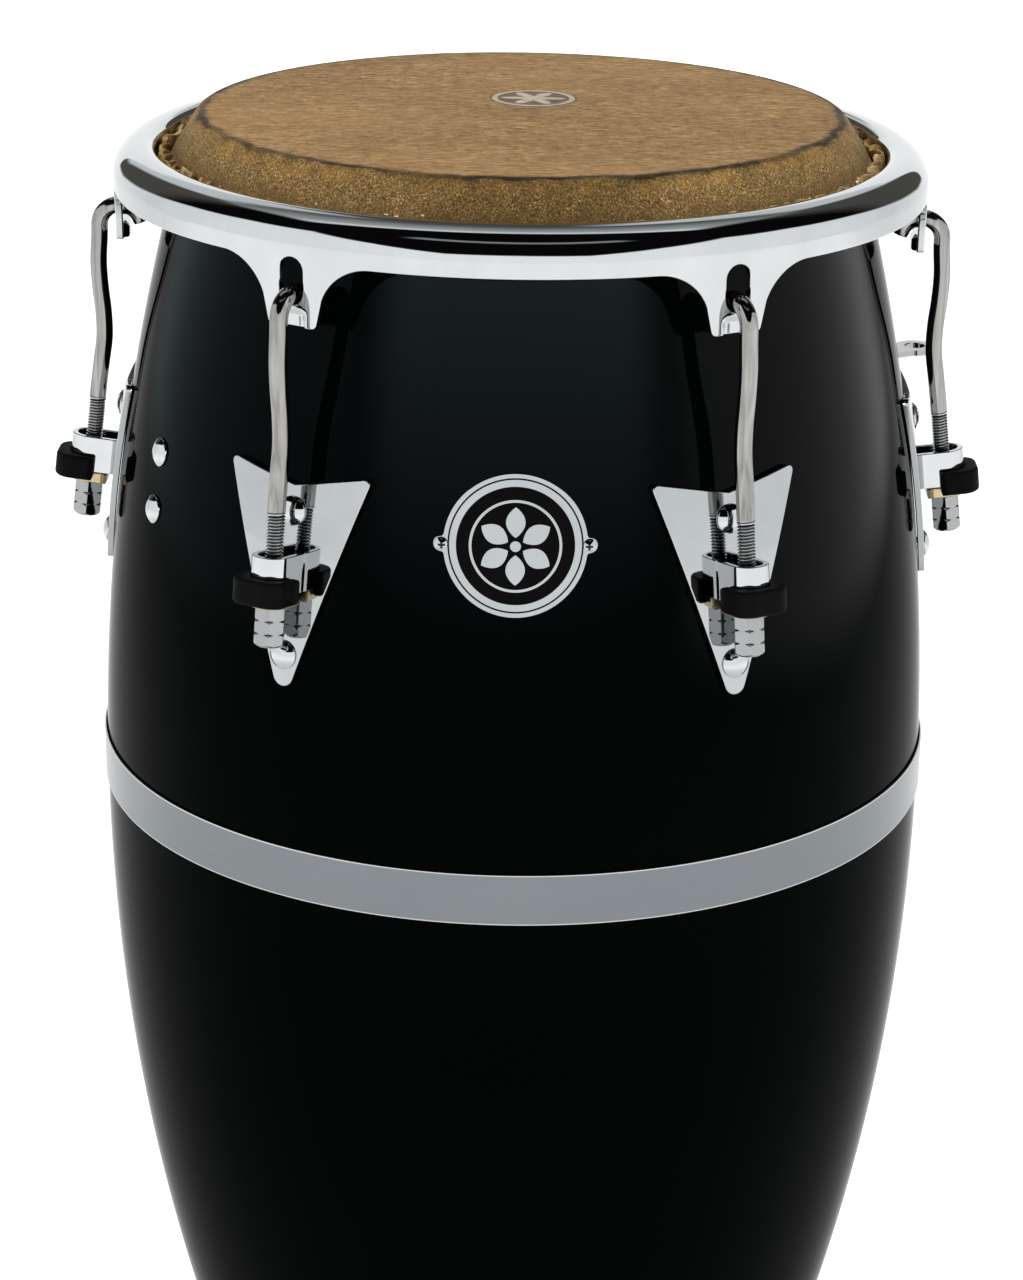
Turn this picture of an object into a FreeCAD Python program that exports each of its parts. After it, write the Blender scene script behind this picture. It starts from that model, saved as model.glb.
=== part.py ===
import FreeCAD, Part
import math
import os
import Sketcher

# Conga drum: a moulded shell with one skin head, held down by a pressed rim, six hook rods and six nuts.
# Millimetres. +Z is up and the origin is the centre of the foot. The badge faces -Y.
# Each of the six lugs is modelled along +X and turned about Z into its place.

PARTS_FOLDER = "parts"
LUG_COUNT = 6
BADGE_TURN = -89.3
CLOSE = 0.001  # two lengths that differ by less are the same
UP = FreeCAD.Vector(0, 0, 1)
ALONG_Y = FreeCAD.Vector(0, 1, 0)

DIMENSIONS = [
    # cutting shapes and blanks
    ("overrun", 5.0, "how far a cutting shape reaches past what it cuts"),
    ("reach", 20.0, "how far a blank reaches past the shell's side"),
    ("hole_reach", 24.0, "length of the cutters for bolt holes, half each way"),
    # shell
    ("drum_height", 762.0, "floor to playing surface"),
    ("belly_radius", 198.0, "outer radius at the widest part"),
    ("belly_height", 442.0, "height of the widest part"),
    ("profile_radius", 1110.0, "radius of the long arc of the shell's side"),
    ("cone_top", 162.0, "height where the arc turns into the straight lower part"),
    ("shell_wall", 6.0, "wall of the moulded shell"),
    ("shell_bottom", 4.0, "lower edge of the shell"),
    ("shoulder_height", 744.0, "height where the bearing edge begins"),
    ("bearing_top", 760.1, "top of the bearing edge"),
    ("bearing_side_height", 756.9, "height where the rounding of the bearing edge begins"),
    ("bearing_side", 148.5, "radius where the rounding of the bearing edge begins"),
    ("bearing_crest", 145.2, "outer radius of the flat on the bearing edge"),
    ("bearing_inner", 142.8, "inner radius of the flat on the bearing edge"),
    ("bearing_round", 4.0, "rounding of the bearing edge"),
    # foot ring
    ("foot_lip_height", 22.0, "height of the rubber lip on the outside"),
    ("foot_inner_lip_height", 14.0, "height of the rubber lip on the inside"),
    ("foot_rubber", 3.0, "thickness of the rubber lips"),
    # belly band
    ("band_height", 454.3, "middle of the band"),
    ("band_width", 24.0, "width of the band"),
    ("band_gap", 0.1, "gap between shell and band"),
    ("band_thickness", 0.9, "thickness of the band"),
    # head and flesh hoop
    ("skin", 1.8, "thickness of the skin"),
    ("crown_radius", 145.5, "radius where the playing surface turns down"),
    ("crown_side", 150.5, "radius where the turn ends"),
    ("crown_drop", 4.0, "height of the turn"),
    ("crown_round", 5.2, "radius of the turn"),
    ("waist_side", 159.2, "outer radius of the skin wall at the collar"),
    ("waist_drop", 17.0, "depth of that point below the playing surface"),
    ("hoop_radius", 171.5, "ring radius of the flesh hoop"),
    ("hoop_drop", 31.0, "depth of the flesh hoop below the playing surface"),
    ("hoop_rod", 4.0, "radius of the hoop's rod"),
    ("hoop_fit", 0.1, "gap between hoop and skin"),
    ("wrap_start", 205.0, "angle on the hoop where the skin meets it"),
    ("wrap_end", 134.0, "angle on the hoop where the fold leaves it"),
    ("collar_outer", 167.4, "outer radius of the collar"),
    ("collar_top", 15.0, "depth of the collar's top below the playing surface"),
    ("collar_step", 0.4, "height of the collar's outer corner above the fold"),
    # rim
    ("rim_inner", 168.0, "inner radius of the rim"),
    ("rim_outer", 187.3, "outer radius of the rim's skirt"),
    ("rim_metal", 3.5, "thickness of the rim's metal"),
    ("rim_foot_drop", 24.7, "depth of the inner flange's edge"),
    ("rim_inner_round", 4.5, "rounding at the inner edge of the rim"),
    ("rim_bend_inside", 1.2, "rounding inside the rim's inner bend"),
    ("rim_inner_drop", 18.0, "depth where that rounding begins"),
    ("rim_crest_drop", 13.5, "depth of the rim's crest"),
    ("rim_crest_start", 172.5, "radius where the crest begins"),
    ("rim_shoulder_round", 14.0, "rounding of the outer shoulder"),
    ("rim_shoulder_drop", 28.0, "depth where the shoulder meets the skirt"),
    ("rim_shoulder_start", 173.8, "radius where the shoulder begins"),
    ("skirt_drop", 34.0, "depth of the skirt's edge between the ears"),
    ("ear_drop", 62.0, "depth of an ear's lower edge"),
    ("ear_root", 36.0, "half width where an ear leaves the skirt"),
    ("ear_root_round", 24.0, "hollow rounding beside an ear"),
    ("ear_neck", 14.8, "half width where the hollow ends"),
    ("ear_neck_drop", 49.0, "depth where the hollow ends"),
    ("ear_foot", 11.8, "half width of an ear's lower edge"),
    ("ear_corner", 2.5, "corner rounding of an ear's lower edge"),
    ("slot_width", 11.6, "width of an ear's slot"),
    ("slot_top_drop", 32.0, "depth of the slot's top"),
    ("slot_bottom_drop", 52.3, "depth of the slot's bottom"),
    ("channel_depth", 2.2, "how far the channel under the slot is pressed in"),
    ("channel_width", 15.0, "outer width of that channel"),
    ("channel_start_drop", 53.5, "depth where the channel begins"),
    ("channel_full_drop", 57.5, "depth where the channel is fully pressed in"),
    ("channel_overlap", 0.5, "how far the channel's back reaches into the ear"),
    # hook, in the frame of the thread: origin at the nut's top, Z along the thread
    ("thread_radius", 204.4, "distance of the nut's top from the drum's axis"),
    ("thread_height", 581.0, "height of the nut's top"),
    ("tilt", 7.0, "lean of the thread, outward on the way down, in degrees"),
    ("rod", 3.97, "radius of the hook's rod"),
    ("rod_end", 14.5, "how far the rod reaches down inside the nut"),
    ("leg_radius", 196.2, "distance of the upright leg from the drum's axis"),
    ("leg_bend", 100.0, "bend radius between leg and thread"),
    ("hook_height", 704.4, "height of the hook's bend centre"),
    ("hook_bend", 10.0, "bend radius of the hook"),
    ("hook_sweep", 158.0, "angle of the hook's bend in degrees"),
    ("hook_tip", 2.0, "straight length at the hook's tip"),
    # nut
    ("nut_flats", 12.7, "across the flats"),
    ("nut_length", 17.5, "length"),
    ("nut_bore", 4.02, "radius of the nut's bore"),
    ("nut_groove", 0.8, "depth of the two grooves"),
    ("nut_gap", 0.1, "gap between nut and seat"),
    ("nut_chamfer", 1.6, "chamfer at the lower end"),
    ("nut_overrun", 1.0, "how far the nut's turning cuts start outside its corners"),
    ("nut_groove_mouth", 1.4, "half of a groove's width there"),
    # seat, bracket and bumper, in the frame of the thread
    ("seat_height", 5.3, "height of the bearing block"),
    ("seat_edge", 1.2, "rounding of the bearing block"),
    ("seat_bore", 4.6, "radius of the bearing block's bore"),
    ("seat_back", 8.6, "how far the block reaches inward from the thread"),
    ("strap_half", 8.3, "half of the bracket's outer width"),
    ("strap_metal", 2.5, "thickness of the bracket's strap"),
    ("strap_nose", 10.2, "how far the bracket reaches outward from the thread"),
    ("strap_top", 22.6, "upper edge of the bracket"),
    ("strap_bottom", 2.9, "lower edge of the bracket's arms"),
    ("strap_root", 13.0, "how far the arms reach inward from the thread"),
    ("strap_gap", 0.05, "gap between the strap and the bearing block"),
    ("bumper_half", 12.7, "half of the bumper's width"),
    ("bumper_nose", 16.4, "how far the bumper reaches outward"),
    ("bumper_back", 2.0, "how far the bumper reaches inward"),
    ("bumper_bottom", 2.0, "lower edge of the bumper"),
    ("bumper_top", 13.4, "upper edge of the bumper"),
    ("bumper_corner", 8.0, "corner rounding seen from above"),
    ("bumper_edge", 1.6, "edge rounding"),
    # side plates
    ("plate_gap", 0.3, "gap between shell and plate"),
    ("plate_thickness", 3.2, "thickness of the plate"),
    ("plate_top", 636.5, "height of the two upper corners"),
    ("plate_notch", 629.6, "height of the notch between them"),
    ("plate_half", 35.7, "half width at the upper corners"),
    ("plate_tip", 541.5, "height of the lower tip"),
    ("plate_tip_round", 5.0, "rounding of the tip"),
    ("plate_corner", 2.5, "rounding of the upper corners"),
    # bolts through the shell
    ("upper_bolt", 618.5, "height of the upper plate bolts"),
    ("lower_bolt", 555.5, "height of the lower plate bolts"),
    ("bolt_head", 6.5, "radius of a dome head"),
    ("bolt_dome", 3.3, "height of a dome head"),
    ("bolt_flange", 0.6, "height of a dome head's straight edge"),
    ("bolt_shank", 3.0, "radius of a bolt"),
    ("bolt_hole", 3.2, "radius of a bolt hole"),
    ("bolt_length", 17.5, "length under the head of a plate bolt"),
    ("short_bolt_length", 14.5, "length under the head of a bolt without a plate"),
    ("washer_radius", 8.0, "radius of a washer inside the shell"),
    ("washer_thickness", 1.5, "thickness of a washer"),
    ("inner_nut_flats", 10.0, "across the flats of a nut inside the shell"),
    ("inner_nut_height", 4.0, "height of a nut inside the shell"),
    ("inner_nut_bore", 3.05, "bore radius of a nut inside the shell"),
    ("washer_drop", 0.25, "gap between the shell's wall and a washer at its middle"),
    ("pair_angle", -150.0, "place of the separate bolt pair, turned from +X, in degrees"),
    ("pair_upper", 622.4, "height of the upper separate bolt"),
    ("pair_lower", 596.2, "height of the lower separate bolt"),
    ("pair_gap", 0.05, "gap between the shell and the head of a separate bolt"),
    # accessory eye
    ("eye_angle", 30.0, "place of the accessory eye, turned from +X, in degrees"),
    ("eye_radius", 230.0, "distance of the eye from the drum's axis"),
    ("eye_height", 621.0, "height of the eye's middle"),
    ("eye_outer", 10.0, "outer radius of the eye"),
    ("eye_bore", 5.3, "bore radius of the eye"),
    ("eye_metal", 2.8, "thickness of the eye's metal"),
    ("eye_width", 16.0, "width of the eye's strap"),
    ("eye_bend", 2.5, "rounding inside the eye's bend"),
    ("eye_foot", 574.0, "lower end of the eye's strap"),
    ("eye_foot_radius", 190.6, "distance of the strap's back from the axis at its lower end"),
    ("eye_neck_radius", 183.8, "distance of the strap's back from the axis at the bend"),
    ("eye_upper_bolt", 609.0, "height of the eye's upper bolt"),
    ("eye_lower_bolt", 582.8, "height of the eye's lower bolt"),
    # badge
    ("badge_height", 612.5, "height of the badge's middle"),
    ("badge_radius", 30.6, "outer radius of the badge"),
    ("badge_ear", 3.4, "radius of the badge's two ears"),
    ("badge_screw_span", 31.3, "distance of a badge screw from the middle"),
    ("badge_metal", 1.1, "thickness of the badge's plate"),
    ("badge_face", 25.0, "radius of the badge's face"),
    ("badge_inlay", 0.5, "thickness of the badge's face"),
    ("screw_head", 2.9, "head radius of a badge screw"),
    ("screw_dome", 1.45, "height of a badge screw's head"),
    ("screw_flange", 0.3, "height of that head's straight edge"),
    ("screw_shank", 1.4, "radius of a badge screw"),
    ("screw_hole", 1.5, "radius of a badge screw's hole"),
    ("screw_length", 7.0, "length of a badge screw"),
]

doc = FreeCAD.newDocument("conga_drum")
sheet = doc.addObject("Spreadsheet::Sheet", "dims")
for row, (alias, number, meaning) in enumerate(DIMENSIONS, start=1):
    sheet.set(f"A{row}", meaning)
    sheet.set(f"B{row}", str(number))
    sheet.setAlias(f"B{row}", alias)
doc.recompute()

kept = []


def size(alias):
    """A driving dimension, as a number."""
    return float(sheet.get(alias))


def value(expression):
    """What an expression on the sheet comes to."""
    return float(sheet.evalExpression(expression))


# ---------------------------------------------------------------- sketch helpers

def new_body(label):
    """A body that is written out under its label."""
    body = doc.addObject("PartDesign::Body", label)
    body.Label = label
    kept.append(body)
    return body


def origin_plane(body, role):
    return next(f for f in body.Origin.OriginFeatures if f.Role == role)


def sketch_on(body, name, role, offset=None):
    """A sketch on one of the body's origin planes, moved along the plane's normal if offset is given."""
    sketch = body.newObject("Sketcher::SketchObject", name)
    sketch.AttachmentSupport = (origin_plane(body, role), [""])
    sketch.MapMode = "FlatFace"
    if offset is not None:
        sketch.setExpression("AttachmentOffset.Base.z", offset)
    return sketch


def pin(sketch, geometry, end, across, expression):
    """Fixes how far across ("X" or "Y") a point of a sketch lies."""
    if expression == "0":
        axis = -2 if across == "X" else -1
        sketch.addConstraint(Sketcher.Constraint("PointOnObject", geometry, end, axis))
        return
    made = Sketcher.Constraint(f"Distance{across}", -1, 1, geometry, end, value(expression))
    index = sketch.addConstraint(made)
    sketch.setExpression(f"Constraints[{index}]", expression)


def pin_point(sketch, geometry, end, x, y):
    """Fixes a point of a sketch at two expressions."""
    pin(sketch, geometry, end, "X", x)
    pin(sketch, geometry, end, "Y", y)


def set_radius(sketch, geometry, radius):
    index = sketch.addConstraint(Sketcher.Constraint("Radius", geometry, value(radius)))
    sketch.setExpression(f"Constraints[{index}]", radius)


def arc_between(start, finish, radius, turn):
    """The arc from start to finish that turns left or right, and whether it runs forwards."""
    chord = finish - start
    middle = start + chord * 0.5
    rise = math.sqrt(max(radius ** 2 - chord.Length ** 2 / 4, 0.0))
    left = FreeCAD.Vector(-chord.y, chord.x, 0).normalize()
    centre = middle + left * (rise if turn == "left" else -rise)
    first, last = (start, finish) if turn == "left" else (finish, start)
    circle = Part.Circle(centre, UP, radius)
    angles = [math.atan2(p.y - centre.y, p.x - centre.x) for p in (first, last)]
    if angles[1] < angles[0]:
        angles[1] += 2 * math.pi
    return Part.ArcOfCircle(circle, angles[0], angles[1]), turn == "left"


def outline(sketch, corners, closed=True):
    """Draws lines and arcs through corners.

    A corner is (x, y), or (x, y, radius, turn) if an arc leaves it. Two fixed ends leave a half
    circle's radius settled already, so its centre is fixed in place of it.
    """
    points = [FreeCAD.Vector(value(c[0]), value(c[1]), 0) for c in corners]
    count = len(corners) if closed else len(corners) - 1
    edges = []
    for i in range(count):
        start, finish = points[i], points[(i + 1) % len(points)]
        if len(corners[i]) == 2:
            edges.append((sketch.addGeometry(Part.LineSegment(start, finish)), 1, 2))
            continue
        arc, forwards = arc_between(start, finish, value(corners[i][2]), corners[i][3])
        edges.append((sketch.addGeometry(arc), 1, 2) if forwards else (sketch.addGeometry(arc), 2, 1))
    for i, (edge, first, last) in enumerate(edges):
        pin_point(sketch, edge, first, corners[i][0], corners[i][1])
        following = edges[(i + 1) % len(edges)]
        if closed or i + 1 < len(edges):
            joint = Sketcher.Constraint("Coincident", edge, last, following[0], following[1])
            sketch.addConstraint(joint)
        else:
            pin_point(sketch, edge, last, corners[i + 1][0], corners[i + 1][1])
        if len(corners[i]) == 4:
            chord = points[(i + 1) % len(points)] - points[i]
            if chord.Length < 2 * value(corners[i][2]) - CLOSE:
                set_radius(sketch, edge, corners[i][2])
            elif abs(chord.x) < CLOSE:
                pin(sketch, edge, 3, "X", corners[i][0])
            else:
                pin(sketch, edge, 3, "Y", corners[i][1])
    return sketch


def circle(sketch, x, y, radius):
    drawn = Part.Circle(FreeCAD.Vector(value(x), value(y), 0), UP, value(radius))
    geometry = sketch.addGeometry(drawn)
    pin_point(sketch, geometry, 3, x, y)
    set_radius(sketch, geometry, radius)
    return sketch


def mirrored_x(corners):
    """The same corners on the other side of the sketch's upright axis, in the opposite order."""
    turned = []
    for i in range(len(corners) - 1, -1, -1):
        x, y = corners[i][:2]
        arc = corners[i - 1][2:] if i else corners[-1][2:]
        turned.append((x if x == "0" else f"-({x})", y, *arc))
    return turned


def hexagon(sketch, flats):
    """A hexagon round the sketch's origin, with two corners on its upright axis."""
    corner = f"{flats} / sqrt(3)"
    angles = [60 * i + 30 for i in range(6)]
    xs = ["0" if angle % 180 == 90 else f"{corner} * cos({angle})" for angle in angles]
    return outline(sketch, [(x, f"{corner} * sin({angle})") for x, angle in zip(xs, angles)])


# ---------------------------------------------------------------- feature helpers

def revolved(body, sketch, name="Turned"):
    feature = body.newObject("PartDesign::Revolution", name)
    feature.Profile = sketch
    feature.ReferenceAxis = (sketch, ["V_Axis"])
    feature.Angle = 360
    return feature


def grooved(body, sketch, name="Turned_away"):
    feature = body.newObject("PartDesign::Groove", name)
    feature.Profile = sketch
    feature.ReferenceAxis = (sketch, ["V_Axis"])
    feature.Angle = 360
    return feature


def padded(body, sketch, length, name="Pad", both_ways=False):
    feature = body.newObject("PartDesign::Pad", name)
    feature.Profile = sketch
    feature.setExpression("Length", length)
    feature.Midplane = both_ways
    return feature


def pocketed(body, sketch, length, name="Pocket", both_ways=False, along_normal=False):
    """Cuts against the sketch's normal, or along it, or half each way."""
    feature = body.newObject("PartDesign::Pocket", name)
    feature.Profile = sketch
    feature.setExpression("Length", length)
    feature.Midplane = both_ways
    feature.Reversed = along_normal
    return feature


def repeated(body, features):
    """Repeats features round Z, once for each lug."""
    pattern = body.newObject("PartDesign::PolarPattern", "Round_the_drum")
    pattern.Originals = features
    pattern.Axis = (next(f for f in body.Origin.OriginFeatures if f.Role == "Z_Axis"), [""])
    pattern.Angle = 360
    pattern.Occurrences = LUG_COUNT
    body.Tip = pattern
    return pattern


def rounded(body, feature, radius, wanted, kind="Fillet"):
    """Rounds or chamfers those edges of a feature that wanted picks."""
    doc.recompute()
    edges = [f"Edge{i}" for i, edge in enumerate(feature.Shape.Edges, start=1) if wanted(edge)]
    if not edges:
        raise ValueError(f"{body.Label}: no edge found for {kind}")
    made = body.newObject(f"PartDesign::{kind}", kind)
    made.Base = (feature, edges)
    made.setExpression("Radius" if kind == "Fillet" else "Size", radius)
    return made


def turn_of_lug(index):
    return index * 360.0 / LUG_COUNT


def turned(angle):
    """The placement that turns a piece from +X to its place round the drum."""
    return FreeCAD.Placement(FreeCAD.Vector(), FreeCAD.Rotation(UP, angle))


def thread_placement(index):
    """The frame of a lug's thread: origin at the nut's top, Z up along the thread."""
    foot = FreeCAD.Vector(size("thread_radius"), 0, size("thread_height"))
    lean = FreeCAD.Placement(foot, FreeCAD.Rotation(ALONG_Y, -size("tilt")))
    return turned(turn_of_lug(index)) * lean


# ---------------------------------------------------------------- the shell's surface

def side_radius(height, inset="0"):
    """Radius of the long arc at a height, or of the arc that lies inset inside it."""
    reach = f"(dims.profile_radius - ({inset}))"
    return (f"dims.belly_radius - dims.profile_radius"
            f" + sqrt({reach} ^ 2 - ({height} - dims.belly_height) ^ 2)")


def cone_radius(height, inset="0"):
    """Radius of the straight lower part at a height."""
    drop = "(dims.belly_height - dims.cone_top)"
    slope = f"{drop} / sqrt(dims.profile_radius ^ 2 - {drop} ^ 2)"
    return f"{side_radius('dims.cone_top', inset)} - (dims.cone_top - {height}) * {slope}"


def side_slope(height):
    """Lean of the shell's side at a height, in degrees, positive where it narrows upward."""
    return math.degrees(math.asin((height - size("belly_height")) / size("profile_radius")))


def bolt_frame(angle, height, gap):
    """Frame on the shell's side: Z points straight out of the surface, gap away from the shell."""
    lean = math.radians(side_slope(height))
    radius = value(side_radius(str(height)))
    foot = FreeCAD.Vector(radius + gap * math.cos(lean), 0, height + gap * math.sin(lean))
    out = FreeCAD.Rotation(ALONG_Y, 90 - math.degrees(lean))
    return turned(angle) * FreeCAD.Placement(foot, out)


def lug_bolt_places(gap):
    heights = (size("upper_bolt"), size("lower_bolt"))
    return [bolt_frame(turn_of_lug(i), height, gap) for i in range(LUG_COUNT) for height in heights]


def pair_bolt_places(gap):
    return [bolt_frame(size("pair_angle"), size(name), gap) for name in ("pair_upper", "pair_lower")]


def eye_bolt_places(gap):
    names = ("eye_upper_bolt", "eye_lower_bolt")
    return [bolt_frame(size("eye_angle"), size(name), gap) for name in names]


def badge_screw_turns():
    """How far the badge's two screws are turned from its middle, in degrees."""
    sideways = math.asin(size("badge_screw_span") / value(side_radius("dims.badge_height")))
    return (-math.degrees(sideways), math.degrees(sideways))


def badge_screw_places(gap):
    return [bolt_frame(BADGE_TURN + turn, size("badge_height"), gap) for turn in badge_screw_turns()]


def hole_sketch(body, name, height, radius, turn=0.0):
    """A circle that stands square to the shell's side, at a height, for a hole through it."""
    sketch = sketch_on(body, name, "YZ_Plane")
    place = bolt_frame(turn, height, 0)
    plane = FreeCAD.Placement(FreeCAD.Vector(), FreeCAD.Rotation(FreeCAD.Vector(1, 1, 1), 120))
    sketch.AttachmentOffset = plane.inverse() * place
    return circle(sketch, "0", "0", radius)


# ---------------------------------------------------------------- shell, band and foot

def make_shell():
    body = new_body("shell")
    corners = [
        (cone_radius("dims.shell_bottom"), "dims.shell_bottom"),
        (side_radius("dims.cone_top"), "dims.cone_top", "dims.profile_radius", "left"),
        (side_radius("dims.shoulder_height"), "dims.shoulder_height"),
        ("dims.bearing_side", "dims.bearing_side_height", "dims.bearing_round", "left"),
        ("dims.bearing_crest", "dims.bearing_top"),
        ("dims.bearing_inner", "dims.bearing_top"),
        (side_radius("dims.shoulder_height", "dims.shell_wall"), "dims.shoulder_height",
         "dims.profile_radius - dims.shell_wall", "right"),
        (side_radius("dims.cone_top", "dims.shell_wall"), "dims.cone_top"),
        (cone_radius("dims.shell_bottom", "dims.shell_wall"), "dims.shell_bottom"),
    ]
    revolved(body, outline(sketch_on(body, "Profile", "XZ_Plane"), corners))
    lug_holes = [
        pocketed(body, hole_sketch(body, f"Hole_{i}", height, "dims.bolt_hole"), "dims.hole_reach",
                 both_ways=True)
        for i, height in enumerate((size("upper_bolt"), size("lower_bolt")))
    ]
    repeated(body, lug_holes)
    singles = [("pair_angle", "pair_upper"), ("pair_angle", "pair_lower"),
               ("eye_angle", "eye_upper_bolt"), ("eye_angle", "eye_lower_bolt")]
    for angle, name in singles:
        sketch = hole_sketch(body, f"Hole_{name}", size(name), "dims.bolt_hole", size(angle))
        pocketed(body, sketch, "dims.hole_reach", both_ways=True)
    for i, turn in enumerate(badge_screw_turns()):
        sketch = hole_sketch(body, f"Badge_hole_{i}", size("badge_height"), "dims.screw_hole",
                             BADGE_TURN + turn)
        pocketed(body, sketch, "dims.hole_reach", both_ways=True)
    return body


def make_belly_band():
    body = new_body("belly_band")
    inner = "dims.belly_radius + dims.band_gap"
    outer = f"{inner} + dims.band_thickness"
    low = "dims.band_height - dims.band_width / 2"
    high = "dims.band_height + dims.band_width / 2"
    corners = [(inner, low), (outer, low), (outer, high), (inner, high)]
    return revolved(body, outline(sketch_on(body, "Profile", "XZ_Plane"), corners))


def make_foot_ring():
    """A rubber channel pushed over the shell's lower edge."""
    body = new_body("foot_ring")
    low_inside = cone_radius("dims.shell_bottom", "dims.shell_wall")
    corners = [
        (f"{low_inside} - dims.foot_rubber", "0"),
        (f"{cone_radius('0')} + dims.foot_rubber", "0"),
        (f"{cone_radius('dims.foot_lip_height')} + dims.foot_rubber", "dims.foot_lip_height"),
        (cone_radius("dims.foot_lip_height"), "dims.foot_lip_height"),
        (cone_radius("dims.shell_bottom"), "dims.shell_bottom"),
        (low_inside, "dims.shell_bottom"),
        (cone_radius("dims.foot_inner_lip_height", "dims.shell_wall"), "dims.foot_inner_lip_height"),
        (f"{cone_radius('dims.foot_inner_lip_height', 'dims.shell_wall')} - dims.foot_rubber",
         "dims.foot_inner_lip_height"),
    ]
    return revolved(body, outline(sketch_on(body, "Profile", "XZ_Plane"), corners))


# ---------------------------------------------------------------- head, hoop and rim

def on_hoop(radius, angle):
    """A point at an angle round the section of the flesh hoop."""
    return (f"dims.hoop_radius + ({radius}) * cos({angle})",
            f"dims.drum_height - dims.hoop_drop + ({radius}) * sin({angle})")


def make_head_skin():
    """Playing surface, flared wall, fold round the hoop and the collar that stands up behind it."""
    body = new_body("head_skin")
    near = "dims.hoop_rod + dims.hoop_fit"
    far = f"{near} + dims.skin"
    lean = "atan((dims.waist_side - dims.crown_side) / (dims.waist_drop - dims.crown_drop))"
    inward = f"dims.skin * cos({lean})"
    downward = f"dims.skin * sin({lean})"
    top = "dims.drum_height"
    collar_inner = "dims.collar_outer - dims.skin"
    collar_root = f"{top} - dims.hoop_drop + ({far}) * sin(dims.wrap_end)"
    corners = [
        ("0", top),
        ("dims.crown_radius", top, "dims.crown_round", "right"),
        ("dims.crown_side", f"{top} - dims.crown_drop"),
        ("dims.waist_side", f"{top} - dims.waist_drop"),
        (*on_hoop(near, "dims.wrap_start"), near, "left"),
        (*on_hoop(near, "0"), near, "left"),
        on_hoop(near, "dims.wrap_end"),
        (collar_inner, f"{collar_root} + dims.skin"),
        (collar_inner, f"{top} - dims.collar_top - dims.skin / 2", "dims.skin / 2", "right"),
        ("dims.collar_outer", f"{top} - dims.collar_top - dims.skin / 2"),
        ("dims.collar_outer", f"{collar_root} + dims.collar_step"),
        (*on_hoop(far, "dims.wrap_end"), far, "right"),
        (*on_hoop(far, "0"), far, "right"),
        on_hoop(far, "dims.wrap_start"),
        (f"dims.waist_side - {inward}", f"{top} - dims.waist_drop - {downward}"),
        (f"dims.crown_side - {inward}", f"{top} - dims.crown_drop - {downward}",
         "dims.crown_round", "left"),
        ("dims.crown_radius - dims.skin / 2", f"{top} - dims.skin"),
        ("0", f"{top} - dims.skin"),
    ]
    return revolved(body, outline(sketch_on(body, "Profile", "XZ_Plane"), corners))


def make_flesh_hoop():
    hoop = doc.addObject("Part::Torus", "flesh_hoop")
    hoop.Label = "flesh_hoop"
    hoop.setExpression("Radius1", "dims.hoop_radius")
    hoop.setExpression("Radius2", "dims.hoop_rod")
    hoop.setExpression("Placement.Base.z", "dims.drum_height - dims.hoop_drop")
    kept.append(hoop)
    return hoop


def below_head(drop):
    return f"dims.drum_height - ({drop})"


def rim_section():
    """Half section of the rim with its skirt drawn down to the ears' lower edge."""
    metal = "dims.rim_metal"
    return [
        ("dims.rim_inner", below_head("dims.rim_foot_drop")),
        (f"dims.rim_inner + {metal}", below_head("dims.rim_foot_drop")),
        (f"dims.rim_inner + {metal}", below_head("dims.rim_inner_drop"), "dims.rim_bend_inside", "right"),
        (f"dims.rim_inner + {metal} + dims.rim_bend_inside", below_head(f"dims.rim_crest_drop + {metal}")),
        ("dims.rim_shoulder_start", below_head(f"dims.rim_crest_drop + {metal}"),
         f"dims.rim_shoulder_round - {metal}", "right"),
        (f"dims.rim_outer - {metal}", below_head("dims.rim_shoulder_drop")),
        (f"dims.rim_outer - {metal}", below_head("dims.ear_drop")),
        ("dims.rim_outer", below_head("dims.ear_drop")),
        ("dims.rim_outer", below_head("dims.rim_shoulder_drop"), "dims.rim_shoulder_round", "left"),
        ("dims.rim_shoulder_start", below_head("dims.rim_crest_drop")),
        ("dims.rim_crest_start", below_head("dims.rim_crest_drop"), "dims.rim_inner_round", "left"),
        ("dims.rim_inner", below_head("dims.rim_inner_drop")),
    ]


def beside_ear():
    """What is cut out of the skirt on one side of an ear, as far as half way to the next ear."""
    half_way = f"dims.rim_outer * sin(180 / {LUG_COUNT}) + dims.overrun"
    below = below_head("dims.ear_drop + dims.overrun")
    return [
        (half_way, below_head("dims.skirt_drop")),
        ("dims.ear_root", below_head("dims.skirt_drop"), "dims.ear_root_round", "left"),
        ("dims.ear_neck", below_head("dims.ear_neck_drop")),
        ("dims.ear_foot", below_head("dims.ear_drop - dims.ear_corner"), "dims.ear_corner", "right"),
        ("dims.ear_foot - dims.ear_corner", below_head("dims.ear_drop")),
        ("dims.ear_foot - dims.ear_corner", below),
        (half_way, below),
    ]


def obround(half_width, low, high):
    """An upright slot with round ends, from low to high."""
    return [
        (half_width, f"{low} + {half_width}"),
        (half_width, f"{high} - {half_width}", half_width, "left"),
        (f"-({half_width})", f"{high} - {half_width}"),
        (f"-({half_width})", f"{low} + {half_width}", half_width, "left"),
    ]


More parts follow.
